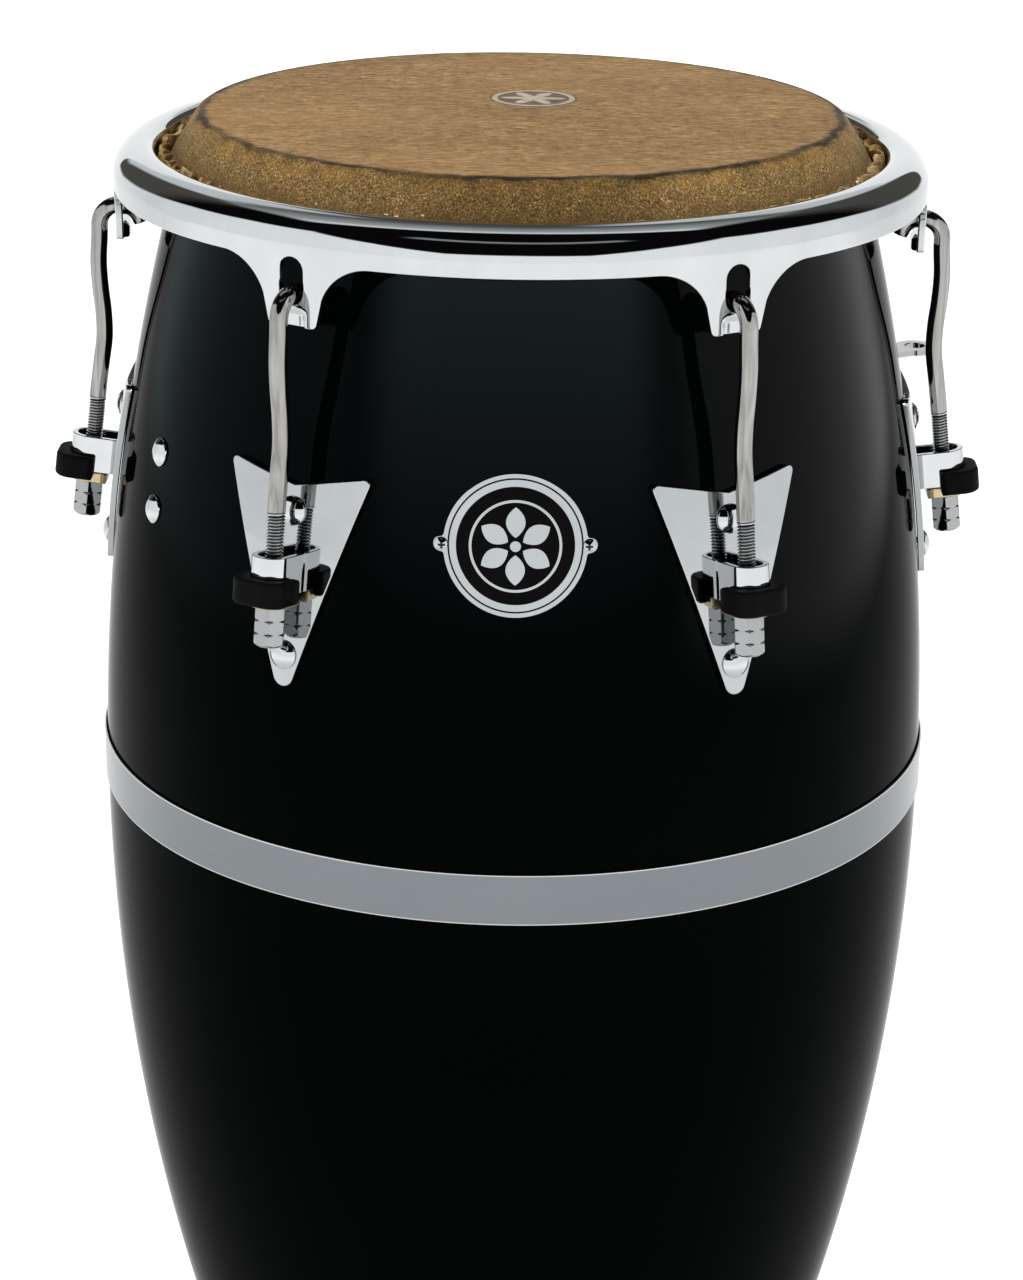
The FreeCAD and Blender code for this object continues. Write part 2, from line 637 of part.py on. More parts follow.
def make_tension_rim():
    body = new_body("tension_rim")
    revolved(body, outline(sketch_on(body, "Profile", "XZ_Plane"), rim_section()))
    gaps = sketch_on(body, "Beside_an_ear", "YZ_Plane")
    outline(gaps, beside_ear())
    outline(gaps, mirrored_x(beside_ear()))
    gap = pocketed(body, gaps, "dims.rim_outer + dims.reach", "Gap", along_normal=True)
    repeated(body, [gap])
    press = sketch_on(body, "Channel_back", "XZ_Plane")
    skirt_inner = "dims.rim_outer - dims.rim_metal"
    channel_top = below_head("dims.channel_start_drop")
    channel_full = below_head("dims.channel_full_drop")
    ear_edge = below_head("dims.ear_drop")
    outline(press, [
        (f"{skirt_inner} + dims.channel_overlap", channel_top),
        (skirt_inner, channel_top),
        (f"{skirt_inner} - dims.channel_depth", channel_full),
        (f"{skirt_inner} - dims.channel_depth", ear_edge),
        (f"{skirt_inner} + dims.channel_overlap", ear_edge),
    ])
    back = padded(body, press, "dims.channel_width", "Channel_back_pad", both_ways=True)
    hollow = sketch_on(body, "Channel_front", "XZ_Plane")
    outline(hollow, [
        ("dims.rim_outer + dims.overrun", channel_top),
        ("dims.rim_outer", channel_top),
        ("dims.rim_outer - dims.channel_depth", channel_full),
        ("dims.rim_outer - dims.channel_depth", below_head("dims.ear_drop + dims.overrun")),
        ("dims.rim_outer + dims.overrun", below_head("dims.ear_drop + dims.overrun")),
    ])
    front = pocketed(body, hollow, "dims.channel_width - dims.rim_metal", "Channel_hollow", both_ways=True)
    slot = sketch_on(body, "Slot", "YZ_Plane")
    outline(slot, obround("dims.slot_width / 2", below_head("dims.slot_bottom_drop"),
                          below_head("dims.slot_top_drop")))
    opening = pocketed(body, slot, "dims.rim_outer + dims.reach", "Slot_cut", along_normal=True)
    repeated(body, [back, front, opening])
    return body


# ---------------------------------------------------------------- lugs

def hook_corners():
    """The hook's centre line in the frame of the thread, from the rod's end to the tip."""
    rise = "(dims.thread_radius - dims.leg_radius) / tan(dims.tilt)"
    knee = f"({rise}) / cos(dims.tilt)"
    ease = "dims.leg_bend * tan(dims.tilt / 2)"
    leg = f"(dims.hook_height - dims.thread_height - {rise})"
    leg_x = f"{leg} * sin(dims.tilt)"
    leg_z = f"{knee} + {leg} * cos(dims.tilt)"
    centre_x = f"{leg_x} - dims.hook_bend * cos(dims.tilt)"
    centre_z = f"{leg_z} + dims.hook_bend * sin(dims.tilt)"
    last = "(dims.hook_sweep - dims.tilt)"
    end_x = f"{centre_x} + dims.hook_bend * cos{last}"
    end_z = f"{centre_z} + dims.hook_bend * sin{last}"
    return [
        ("0", "-dims.rod_end"),
        ("0", f"{knee} - {ease}", "dims.leg_bend", "right"),
        (f"{ease} * sin(dims.tilt)", f"{knee} + {ease} * cos(dims.tilt)"),
        (leg_x, leg_z, "dims.hook_bend", "left"),
        (end_x, end_z),
        (f"{end_x} - dims.hook_tip * sin{last}", f"{end_z} + dims.hook_tip * cos{last}"),
    ]


def make_hook(index):
    body = new_body(f"hook_{index + 1}")
    path = outline(sketch_on(body, "Path", "XZ_Plane"), hook_corners(), closed=False)
    section = sketch_on(body, "Section", "XY_Plane", offset="-dims.rod_end")
    circle(section, "0", "0", "dims.rod")
    pipe = body.newObject("PartDesign::AdditivePipe", "Rod")
    pipe.Profile = section
    pipe.Spine = (path, [f"Edge{i}" for i in range(1, 6)])
    body.Placement = thread_placement(index)
    return body


def make_tuning_nut(index):
    body = new_body(f"tuning_nut_{index + 1}")
    low = "-(dims.nut_length + dims.nut_gap)"
    padded(body, hexagon(sketch_on(body, "Hexagon", "XY_Plane", offset=low), "dims.nut_flats"),
           "dims.nut_length")
    bore = sketch_on(body, "Bore", "XY_Plane", offset=low)
    pocketed(body, circle(bore, "0", "0", "dims.nut_bore"), "dims.nut_length", along_normal=True)
    corner = "dims.nut_flats / sqrt(3)"
    outside = f"{corner} + dims.nut_overrun"
    cuts = sketch_on(body, "Grooves_and_chamfer", "XZ_Plane")
    for share in ("1 / 3", "2 / 3"):
        middle = f"-dims.nut_gap - dims.nut_length * {share}"
        outline(cuts, [
            (outside, f"{middle} - dims.nut_groove_mouth"),
            (outside, f"{middle} + dims.nut_groove_mouth"),
            ("dims.nut_flats / 2 - dims.nut_groove / 2", middle),
        ])
    outline(cuts, [
        (outside, f"{low} - dims.nut_overrun"),
        (outside, f"{low} + dims.nut_chamfer + dims.nut_overrun"),
        (f"{corner} - dims.nut_chamfer - dims.nut_overrun", f"{low} - dims.nut_overrun"),
    ])
    grooved(body, cuts)
    body.Placement = thread_placement(index)
    return body


def nose_outline(half, nose, back):
    """Seen along the thread: a strip with a round nose pointing outward."""
    return [
        (f"-({back})", f"-({half})"),
        (f"{nose} - ({half})", f"-({half})", half, "left"),
        (f"{nose} - ({half})", half),
        (f"-({back})", half),
    ]


def make_seat_washer(index):
    """The bearing block that the nut pulls against."""
    body = new_body(f"seat_washer_{index + 1}")
    block = sketch_on(body, "Block", "XY_Plane")
    outline(block, nose_outline("dims.strap_half", "dims.strap_nose", "dims.seat_back"))
    circle(block, "0", "0", "dims.seat_bore")
    pad = padded(body, block, "dims.seat_height")

    def outside_edge(edge):
        middle = edge.CenterOfMass
        along_arm = abs(middle.z) < CLOSE and abs(abs(middle.y) - size("strap_half")) < CLOSE
        return along_arm or middle.x > size("seat_bore")

    rounded(body, pad, "dims.seat_edge", outside_edge)
    body.Placement = thread_placement(index)
    return body


def make_side_plate(index):
    """A V-shaped plate that follows the shell's side."""
    body = new_body(f"side_plate_{index + 1}")
    lean = "atan((dims.plate_half - dims.plate_tip_round) / (dims.plate_top - dims.plate_tip))"
    touch_x = f"dims.plate_tip_round * cos({lean})"
    touch_z = f"dims.plate_tip + dims.plate_tip_round * (1 - sin({lean}))"
    corners = [
        (touch_x, touch_z),
        ("dims.plate_half", "dims.plate_top"),
        ("0", "dims.plate_notch"),
        ("-dims.plate_half", "dims.plate_top"),
        (f"-({touch_x})", touch_z, "dims.plate_tip_round", "left"),
    ]
    face = outline(sketch_on(body, "Outline", "YZ_Plane"), corners)
    blank = padded(body, face, "dims.belly_radius + dims.reach")
    corner = size("plate_half")
    rounded(body, blank, "dims.plate_corner",
            lambda e: e.Length > size("belly_radius") and abs(abs(e.CenterOfMass.y) - corner) < CLOSE)
    shape_to_side(body, "dims.plate_gap", "dims.plate_thickness",
                  "dims.plate_tip - dims.overrun", "dims.plate_top + dims.overrun")
    for i, height in enumerate((size("upper_bolt"), size("lower_bolt"))):
        pocketed(body, hole_sketch(body, f"Hole_{i}", height, "dims.bolt_hole"),
                 "dims.hole_reach", both_ways=True)
    body.Placement = turned(turn_of_lug(index))
    return body


def shape_to_side(body, gap, thickness, low, high):
    """Turns away all of a blank but a layer that follows the shell's side."""
    inner = f"-({gap})"
    outer = f"-({gap} + {thickness})"
    layers = sketch_on(body, "Off_the_layer", "XZ_Plane")
    reach = "dims.belly_radius + dims.reach * 2"
    outline(layers, [
        ("0", low), (side_radius(low, inner), low, f"dims.profile_radius + {gap}", "left"),
        (side_radius(high, inner), high), ("0", high),
    ])
    outline(layers, [
        (side_radius(low, outer), low), (reach, low), (reach, high),
        (side_radius(high, outer), high, f"dims.profile_radius + {gap} + {thickness}", "right"),
    ])
    return grooved(body, layers)


def make_lug_bracket(index, plate):
    """A strap bent to a U round the rod, its arms ending on the side plate."""
    blank = doc.addObject("PartDesign::Body", f"bracket_blank_{index + 1}")
    low = "dims.strap_bottom"
    bar = sketch_on(blank, "Outside", "XY_Plane", offset=low)
    outline(bar, nose_outline("dims.strap_half", "dims.strap_nose", "dims.strap_root"))
    padded(blank, bar, "dims.strap_top - dims.strap_bottom")
    inside = sketch_on(blank, "Inside", "XY_Plane", offset=low)
    outline(inside, nose_outline("dims.strap_half - dims.strap_metal",
                                 "dims.strap_nose - dims.strap_metal", "dims.strap_root + dims.overrun"))
    pocketed(blank, inside, "dims.strap_top - dims.strap_bottom", along_normal=True)
    step = sketch_on(blank, "Step", "XZ_Plane")
    outline(step, [
        ("-(dims.seat_back + dims.strap_gap)", "dims.strap_bottom - dims.overrun"),
        ("dims.strap_nose + dims.overrun", "dims.strap_bottom - dims.overrun"),
        ("dims.strap_nose + dims.overrun", "dims.seat_height + dims.strap_gap"),
        ("-(dims.seat_back + dims.strap_gap)", "dims.seat_height + dims.strap_gap"),
    ])
    pocketed(blank, step, "dims.strap_half * 4", "Step_cut", both_ways=True)
    blank.Placement = thread_placement(index)
    bracket = doc.addObject("Part::Cut", f"lug_bracket_{index + 1}")
    bracket.Label = f"lug_bracket_{index + 1}"
    bracket.Base = blank
    bracket.Tool = plate
    kept.append(bracket)
    return bracket


def make_bumper(index):
    """A rubber pad that wraps the nose of the bracket and of the bearing block."""
    body = new_body(f"bumper_{index + 1}")
    pad = sketch_on(body, "Outside", "XY_Plane", offset="dims.bumper_bottom")
    outline(pad, [
        ("-dims.bumper_back", "-dims.bumper_half"),
        ("dims.bumper_nose - dims.bumper_corner", "-dims.bumper_half", "dims.bumper_corner", "left"),
        ("dims.bumper_nose", "-(dims.bumper_half - dims.bumper_corner)"),
        ("dims.bumper_nose", "dims.bumper_half - dims.bumper_corner", "dims.bumper_corner", "left"),
        ("dims.bumper_nose - dims.bumper_corner", "dims.bumper_half"),
        ("-dims.bumper_back", "dims.bumper_half"),
    ])
    blank = padded(body, pad, "dims.bumper_top - dims.bumper_bottom")
    ends = (size("bumper_bottom"), size("bumper_top"))
    rounded(body, blank, "dims.bumper_edge",
            lambda e: any(abs(e.CenterOfMass.z - z) < CLOSE for z in ends))
    inside = sketch_on(body, "Inside", "XY_Plane", offset="dims.bumper_bottom")
    outline(inside, nose_outline("dims.strap_half", "dims.strap_nose", "dims.bumper_back + dims.overrun"))
    pocketed(body, inside, "dims.bumper_top - dims.bumper_bottom", along_normal=True)
    body.Placement = thread_placement(index)
    return body


# ---------------------------------------------------------------- fasteners

def blank_body(name):
    """A body that is copied into a group and isn't written out itself."""
    return doc.addObject("PartDesign::Body", name)


def make_bolt(name, head, dome, flange, shank, length):
    """Dome head above the XY plane and shank below it."""
    body = blank_body(name)
    rise = f"({dome} - {flange})"
    corners = [
        ("0", f"-({length})"),
        (shank, f"-({length})"),
        (shank, "0"),
        (head, "0"),
        (head, flange, f"({head} ^ 2 + {rise} ^ 2) / (2 * {rise})", "left"),
        ("0", dome),
    ]
    revolved(body, outline(sketch_on(body, "Profile", "XZ_Plane"), corners))
    return body


def make_washer():
    body = blank_body("washer_blank")
    top = "-(dims.shell_wall + dims.washer_drop)"
    low = f"{top} - dims.washer_thickness"
    corners = [("dims.bolt_hole", low), ("dims.washer_radius", low),
               ("dims.washer_radius", top), ("dims.bolt_hole", top)]
    revolved(body, outline(sketch_on(body, "Profile", "XZ_Plane"), corners))
    return body


def make_inner_nut():
    body = blank_body("inner_nut_blank")
    low = "-(dims.shell_wall + dims.washer_drop + dims.washer_thickness + dims.inner_nut_height)"
    drawn = sketch_on(body, "Hexagon", "XY_Plane", offset=low)
    hexagon(drawn, "dims.inner_nut_flats")
    circle(drawn, "0", "0", "dims.inner_nut_bore")
    padded(body, drawn, "dims.inner_nut_height")
    return body


def group(label, members):
    """One node of separate solids: members are (blank body, placements)."""
    doc.recompute()
    solids = []
    for blank, places in members:
        for place in places:
            solid = blank.Shape.copy()
            solid.Placement = place * solid.Placement
            solids.append(solid)
    feature = doc.addObject("Part::Feature", label)
    feature.Label = label
    feature.Shape = Part.makeCompound(solids)
    kept.append(feature)
    return feature


def make_fasteners():
    head = ("dims.bolt_head", "dims.bolt_dome", "dims.bolt_flange", "dims.bolt_shank")
    bolt = make_bolt("plate_bolt_blank", *head, "dims.bolt_length")
    short_bolt = make_bolt("short_bolt_blank", *head, "dims.short_bolt_length")
    screw = make_bolt("screw_blank", "dims.screw_head", "dims.screw_dome", "dims.screw_flange",
                      "dims.screw_shank", "dims.screw_length")
    washer = make_washer()
    inner_nut = make_inner_nut()
    on_plate = size("plate_gap") + size("plate_thickness")
    on_eye = size("eye_metal") + size("plate_gap") * 2
    on_badge = size("badge_metal") + size("plate_gap")
    everywhere = lug_bolt_places(0) + pair_bolt_places(0) + eye_bolt_places(0)
    group("plate_bolts", [(bolt, lug_bolt_places(on_plate))])
    group("pair_bolts", [(short_bolt, pair_bolt_places(size("pair_gap")))])
    group("eye_bolts", [(bolt, eye_bolt_places(on_eye))])
    group("shell_washers", [(washer, everywhere)])
    group("shell_nuts", [(inner_nut, everywhere)])
    group("badge_screws", [(screw, badge_screw_places(on_badge))])


# ---------------------------------------------------------------- accessory eye and badge

def make_accessory_eye():
    """A strap bolted to the shell and bent outward, ending in a horizontal ring."""
    body = new_body("accessory_eye")
    low = "dims.eye_height - dims.eye_metal / 2"
    high = "dims.eye_height + dims.eye_metal / 2"
    lean = "(dims.eye_foot_radius - dims.eye_neck_radius)"
    rise = "(dims.eye_height - dims.eye_foot)"
    corners = [
        ("dims.eye_foot_radius", "dims.eye_foot"),
        ("dims.eye_foot_radius + dims.eye_metal", f"dims.eye_foot + dims.eye_metal * {lean} / {rise}"),
        (f"dims.eye_neck_radius + dims.eye_metal + {lean} * dims.eye_metal / {rise}", low),
        ("dims.eye_radius", low),
        ("dims.eye_radius", high),
        ("dims.eye_neck_radius", high),
    ]
    profile = outline(sketch_on(body, "Profile", "XZ_Plane"), corners)
    strap = padded(body, profile, "dims.eye_width", both_ways=True)
    inner_bend = value(corners[2][0])
    rounded(body, strap, "dims.eye_bend", lambda e: abs(e.CenterOfMass.x - inner_bend) < CLOSE
            and abs(e.Length - size("eye_width")) < CLOSE)
    ring = sketch_on(body, "Ring", "XY_Plane", offset=low)
    padded(body, circle(ring, "dims.eye_radius", "0", "dims.eye_outer"), "dims.eye_metal", "Ring_pad")
    bore = sketch_on(body, "Bore", "XY_Plane", offset=low)
    pocketed(body, circle(bore, "dims.eye_radius", "0", "dims.eye_bore"), "dims.eye_metal",
             "Bore_cut", along_normal=True)
    for name in ("eye_upper_bolt", "eye_lower_bolt"):
        sketch = hole_sketch(body, f"Hole_{name}", size(name), "dims.bolt_hole")
        pocketed(body, sketch, "dims.hole_reach", both_ways=True)
    body.Placement = turned(size("eye_angle"))
    return body


def make_badge_plate():
    body = new_body("badge_plate")
    depth = "dims.belly_radius + dims.reach"
    disc = sketch_on(body, "Disc", "YZ_Plane")
    padded(body, circle(disc, "0", "dims.badge_height", "dims.badge_radius"), depth)
    ears = sketch_on(body, "Ears", "YZ_Plane")
    for side in ("-dims.badge_screw_span", "dims.badge_screw_span"):
        circle(ears, side, "dims.badge_height", "dims.badge_ear")
    padded(body, ears, depth, "Ear_pad")
    shape_to_side(body, "dims.plate_gap", "dims.badge_metal",
                  "dims.badge_height - dims.badge_radius - dims.overrun",
                  "dims.badge_height + dims.badge_radius + dims.overrun")
    for i, turn in enumerate(badge_screw_turns()):
        sketch = hole_sketch(body, f"Hole_{i}", size("badge_height"), "dims.screw_hole", turn)
        pocketed(body, sketch, "dims.hole_reach", both_ways=True)
    body.Placement = turned(BADGE_TURN)
    return body


def make_badge_face():
    body = new_body("badge_face")
    disc = sketch_on(body, "Disc", "YZ_Plane")
    circle(disc, "0", "dims.badge_height", "dims.badge_face")
    padded(body, disc, "dims.belly_radius + dims.reach")
    shape_to_side(body, "dims.plate_gap + dims.badge_metal", "dims.badge_inlay",
                  "dims.badge_height - dims.badge_radius - dims.overrun",
                  "dims.badge_height + dims.badge_radius + dims.overrun")
    body.Placement = turned(BADGE_TURN)
    return body


# ---------------------------------------------------------------- the whole drum

def make_drum():
    make_shell()
    make_belly_band()
    make_foot_ring()
    make_head_skin()
    make_flesh_hoop()
    make_tension_rim()
    for index in range(LUG_COUNT):
        make_hook(index)
        make_tuning_nut(index)
        make_seat_washer(index)
        plate = make_side_plate(index)
        make_lug_bracket(index, plate)
        make_bumper(index)
    make_fasteners()
    make_accessory_eye()
    make_badge_plate()
    make_badge_face()


def write_parts():
    """Stops at the first failed object or bad solid, then writes one file for each sub-part."""
    doc.recompute()
    failed = [o.Name for o in doc.Objects if "Invalid" in o.State or "Error" in o.State]
    if failed:
        raise RuntimeError(f"these objects failed: {failed}")
    for part in kept:
        if part.Shape.isNull() or not part.Shape.isValid():
            raise RuntimeError(f"{part.Label} has no valid shape")
    os.makedirs(PARTS_FOLDER, exist_ok=True)
    for part in kept:
        part.Shape.exportStep(os.path.join(PARTS_FOLDER, f"{part.Label}.step"))
        print(f"{part.Label:18s} {len(part.Shape.Solids):3d} solids {part.Shape.Volume:12.1f} mm3")


make_drum()
write_parts()
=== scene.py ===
import math

import bmesh
import bpy
from mathutils import Matrix, Vector, noise


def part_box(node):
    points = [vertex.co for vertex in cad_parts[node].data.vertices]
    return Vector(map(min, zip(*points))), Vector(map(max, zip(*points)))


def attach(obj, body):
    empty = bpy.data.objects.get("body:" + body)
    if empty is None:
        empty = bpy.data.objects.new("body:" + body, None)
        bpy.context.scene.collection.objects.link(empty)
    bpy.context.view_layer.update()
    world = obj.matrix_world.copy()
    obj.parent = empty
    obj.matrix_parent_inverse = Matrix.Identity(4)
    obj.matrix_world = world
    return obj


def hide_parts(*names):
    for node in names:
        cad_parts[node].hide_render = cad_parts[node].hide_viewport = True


# Conga drum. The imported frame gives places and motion; this script gives every visible surface.
# Shapes are in millimetres in the drum's frame, and are turned into metres as a mesh is made.
# Shaders, lamps, floor and camera are in metres.

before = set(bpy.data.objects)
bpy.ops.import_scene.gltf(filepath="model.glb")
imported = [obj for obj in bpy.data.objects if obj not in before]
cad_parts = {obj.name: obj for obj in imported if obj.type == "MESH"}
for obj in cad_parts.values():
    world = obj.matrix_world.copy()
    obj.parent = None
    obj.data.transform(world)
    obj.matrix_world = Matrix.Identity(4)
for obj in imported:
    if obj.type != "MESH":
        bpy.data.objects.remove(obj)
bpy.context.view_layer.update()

MM = 0.001
LUGS = 6
LUG_TURNS = [math.radians(360 / LUGS * i) for i in range(LUGS)]

# shell
HEAD_TOP = 762.0
BELLY_RADIUS = 198.0
BELLY_HEIGHT = 442.0
SIDE_ARC = 1110.0
CONE_TOP = 162.0
CONE_SLOPE = (BELLY_HEIGHT - CONE_TOP) / math.sqrt(SIDE_ARC ** 2 - (BELLY_HEIGHT - CONE_TOP) ** 2)
WALL = 6.0
SHELL_FOOT = 4.0
SHOULDER = 744.0
FOLDS = 80

# rim
RIM_METAL = 3.5
RIM_OUTER = 187.3
RIM_MIDDLE = RIM_OUTER - RIM_METAL / 2
RIM_INNER = 168.0
RIM_CREST = HEAD_TOP - 13.5
EAR_FOOT = HEAD_TOP - 62.0
SKIRT_EDGE = HEAD_TOP - 34.0
RIM_SHOULDER = 14.0
RIM_FOOT = HEAD_TOP - 24.7
SLOT_HALF = 5.8
SLOT_LOW = HEAD_TOP - 52.3
SLOT_HIGH = HEAD_TOP - 32.0
CHANNEL_DEPTH = 2.2

# thread, hook and nut
THREAD_RADIUS = 204.4
THREAD_HEIGHT = 581.0
TILT = math.radians(7)
ROD = 3.97
THREAD_PITCH = 25.4 / 18
NUT_FLATS = 12.7
NUT_LENGTH = 17.5
STRAP_HALF = 8.3
STRAP_NOSE = 10.2

# plates and bolts, whose dome heads are given as (radius, height, straight edge)
PLATE_GAP = 0.3
PLATE_METAL = 3.2
ON_PLATE = PLATE_GAP + PLATE_METAL
BOLT_HEAD = (6.5, 3.3, 0.6)
BOLT_SHANK = 3.0
BOLT_LENGTH = 17.5
PLATE_BOLTS = (618.5, 555.5)
PAIR_TURN = math.radians(-150)
PAIR_BOLTS = (622.4, 596.2)
PAIR_GAP = 0.05
PAIR_LENGTH = 14.5
EYE_TURN = math.radians(30)
EYE_BOLTS = (609.0, 582.8)
EYE_METAL = 2.8

# badge and stamp
BADGE_TURN = math.radians(-89.3)
BADGE_HEIGHT = 612.5
BADGE_RADIUS = 30.6
BADGE_EAR = 3.4
BADGE_SPAN = 31.3
BADGE_METAL = 1.1
BADGE_FACE = 25.0
STAMP_CENTRE = (0.005, 0.027)  # metres, like the radius, since a shader works in metres
STAMP_RADIUS = 0.0208


# ---- shader nodes

def add(tree, kind, values=None, **settings):
    """Adds a node. values gives its inputs, each a number or the socket that it is linked from."""
    made = tree.nodes.new(kind)
    for name, setting in settings.items():
        setattr(made, name, setting)
    for key, given in (values or {}).items():
        if isinstance(given, bpy.types.NodeSocket):
            tree.links.new(given, made.inputs[key])
        else:
            made.inputs[key].default_value = given
    return made


def new_material(name, **sockets):
    """A material with a Principled shader, and the tree and shader to build on."""
    made = bpy.data.materials.new(name)
    made.use_nodes = True
    shader = made.node_tree.nodes["Principled BSDF"]
    for key, given in sockets.items():
        shader.inputs[key.replace("_", " ")].default_value = given
    return made, made.node_tree, shader


def wired(shader, **sockets):
    """Links values to a shader's inputs. An underscore in a key stands for a space."""
    for key, socket in sockets.items():
        shader.id_data.links.new(socket, shader.inputs[key.replace("_", " ")])


def coordinates(tree, stretch=None):
    """The point in the drum's frame, in metres, and stretched if need be."""
    where = add(tree, "ShaderNodeTexCoord").outputs["Object"]
    if stretch is None:
        return where
    return add(tree, "ShaderNodeVectorMath", {0: where, 1: stretch}, operation="MULTIPLY").outputs[0]


def axes(tree):
    """X, Y and Z of the point in the drum's frame, in metres."""
    return add(tree, "ShaderNodeSeparateXYZ", {0: coordinates(tree)}).outputs


def grain(tree, scale, detail=4.0, rough=0.55, warp=0.0):
    """Noise in the drum's frame. Three numbers as scale stretch it along the axes."""
    stretched = isinstance(scale, tuple)
    where = coordinates(tree, scale if stretched else None)
    values = {"Vector": where, "Scale": 1.0 if stretched else scale, "Detail": detail,
              "Roughness": rough, "Distortion": warp}
    return add(tree, "ShaderNodeTexNoise", values).outputs["Fac"]


def tree_of(*values):
    """The node tree of the first socket among some values."""
    return next(value.id_data for value in values if isinstance(value, bpy.types.NodeSocket))


def calc(operation, *values):
    tree = tree_of(*values)
    return add(tree, "ShaderNodeMath", dict(enumerate(values)), operation=operation).outputs[0]


def times(product, *others):
    for other in others:
        product = calc("MULTIPLY", product, other)
    return product


def fitted(given, low, high, to_low=0.0, to_high=1.0, smooth=False):
    """A value carried from one range to another, and held at the ends."""
    values = {"Value": given, "From Min": low, "From Max": high, "To Min": to_low, "To Max": to_high}
    kind = "SMOOTHSTEP" if smooth else "LINEAR"
    return add(tree_of(given), "ShaderNodeMapRange", values, interpolation_type=kind).outputs["Result"]


def rising(given, low, high):
    return fitted(given, low, high, 0.0, 1.0, True)


def falling(given, low, high):
    return fitted(given, low, high, 1.0, 0.0, True)


def band_of(given, low, high, soft):
    """1 between low and high, with soft ends."""
    return times(rising(given, low - soft, low + soft), falling(given, high - soft, high + soft))


def blended(share, a, b, mode="MIX"):
    """Two colours mixed. Each is a socket or (r, g, b)."""
    colours = [c if isinstance(c, bpy.types.NodeSocket) else (*c, 1.0) for c in (a, b)]
    values = {0: share, 6: colours[0], 7: colours[1]}
    made = add(tree_of(share, a, b), "ShaderNodeMix", values, data_type="RGBA", blend_type=mode)
    return made.outputs[2]


def ramped(given, stops):
    """A colour ramp through (position, (r, g, b)) stops."""
    made = add(tree_of(given), "ShaderNodeValToRGB", {"Fac": given})
    band = made.color_ramp
    while len(band.elements) < len(stops):
        band.elements.new(0.5)
    for element, (position, colour) in zip(band.elements, stops):
        element.position = position
        element.color = (*colour, 1.0)
    return made.outputs["Color"]


def bumped(height, depth, strength=1.0, under=None):
    """A bump whose full height is depth metres."""
    values = {"Height": height, "Distance": depth, "Strength": strength}
    if under is not None:
        values["Normal"] = under
    return add(tree_of(height), "ShaderNodeBump", values).outputs["Normal"]


def cylinder_parts(tree):
    """Distance from the drum's axis, and height, in metres."""
    x, y, height = axes(tree)
    flat = add(tree, "ShaderNodeCombineXYZ", {0: x, 1: y})
    radius = add(tree, "ShaderNodeVectorMath", {0: flat.outputs[0]}, operation="LENGTH").outputs["Value"]
    return radius, height


# ---- materials

def gel_coat_material():
    """Polished black gel coat: faint orange peel, hairline scratches and a trace of dust."""
    made, tree, shader = new_material("gel_coat", IOR=1.052)
    cloud = grain(tree, 7.0, 5.0)
    scratches = grain(tree, (34, 34, 900), 2.0, 0.6)
    lines = fitted(scratches, 0.66, 0.74)
    colour = blended(cloud, (0.0001, 0.0002, 0.0002), (0.0003, 0.0004, 0.0004))
    rough = fitted(cloud, 0.3, 0.7, 0.02, 0.045)
    rough = calc("ADD", rough, times(lines, 0.05))
    peel = grain(tree, 260.0, 2.0)
    wired(shader, Base_Color=colour, Roughness=rough, Normal=bumped(peel, 0.000004, 0.5))
    return made


def raw_fibre_material():
    """The unpolished inside of the moulding: matt resin over chopped fibres."""
    made, tree, shader = new_material("raw_fibre", IOR=1.5)
    strands = grain(tree, 95.0, 6.0, 0.7, 1.5)
    colour = ramped(strands, [(0.3, (0.012, 0.012, 0.012)), (0.7, (0.045, 0.043, 0.040))])
    rough = fitted(strands, 0.3, 0.7, 0.55, 0.8)
    wired(shader, Base_Color=colour, Roughness=rough, Normal=bumped(strands, 0.0006))
    return made


def chrome_material(name, tint, rough_low, rough_high, ripple):
    """Plated steel: soft smudges, fine polishing lines, small pits and a faint waviness."""
    made, tree, shader = new_material(name, Metallic=1.0)
    smudge = grain(tree, 38.0, 6.0, 0.6)
    polish = grain(tree, (180, 180, 1500), 3.0, 0.6)
    pits = add(tree, "ShaderNodeTexVoronoi", {"Vector": coordinates(tree), "Scale": 420.0})
    pit = fitted(pits.outputs["Distance"], 0.03, 0.07, 1.0, 0.0)
    dull = tuple(c * 0.9 for c in tint)
    colour = blended(fitted(smudge, 0.35, 0.75), tint, dull)
    colour = blended(times(pit, 0.5), colour, (0.18, 0.18, 0.18))
    rough = fitted(smudge, 0.3, 0.75, rough_low, rough_high)
    rough = calc("ADD", rough, fitted(polish, 0.5, 0.8, 0.0, 0.02))
    wave = grain(tree, 26.0, 1.0)
    normal = bumped(wave, ripple)
    normal = bumped(polish, 0.0000004, 0.6, normal)
    wired(shader, Base_Color=colour, Roughness=rough, Normal=normal)
    return made


def laid_over(material, share, colour, mode="MIX"):
    """Lays a colour over the one a material has."""
    shader = material.node_tree.nodes["Principled BSDF"]
    plain = shader.inputs["Base Color"].links[0].from_socket
    wired(shader, Base_Color=blended(share, plain, colour, mode))
    return material


def rod_material():
    """Drawn rod: chrome with a darker tint that is painted shade, and pale and dark streaks that run along
    the rod.
    """
    # Painted shade: the tint is darker than the rim's chrome, standing for dimmer reflections.
    made = chrome_material("rod_chrome", (0.37, 0.365, 0.35), 0.07, 0.12, 0.00002)
    streaks = grain(made.node_tree, (520, 520, 5), 2.0, 0.5)
    shade = ramped(streaks, [(0.35, (0.70, 0.69, 0.68)), (0.50, (0.93,) * 3), (0.65, (1.10,) * 3)])
    return laid_over(made, 1.0, shade, "MULTIPLY")


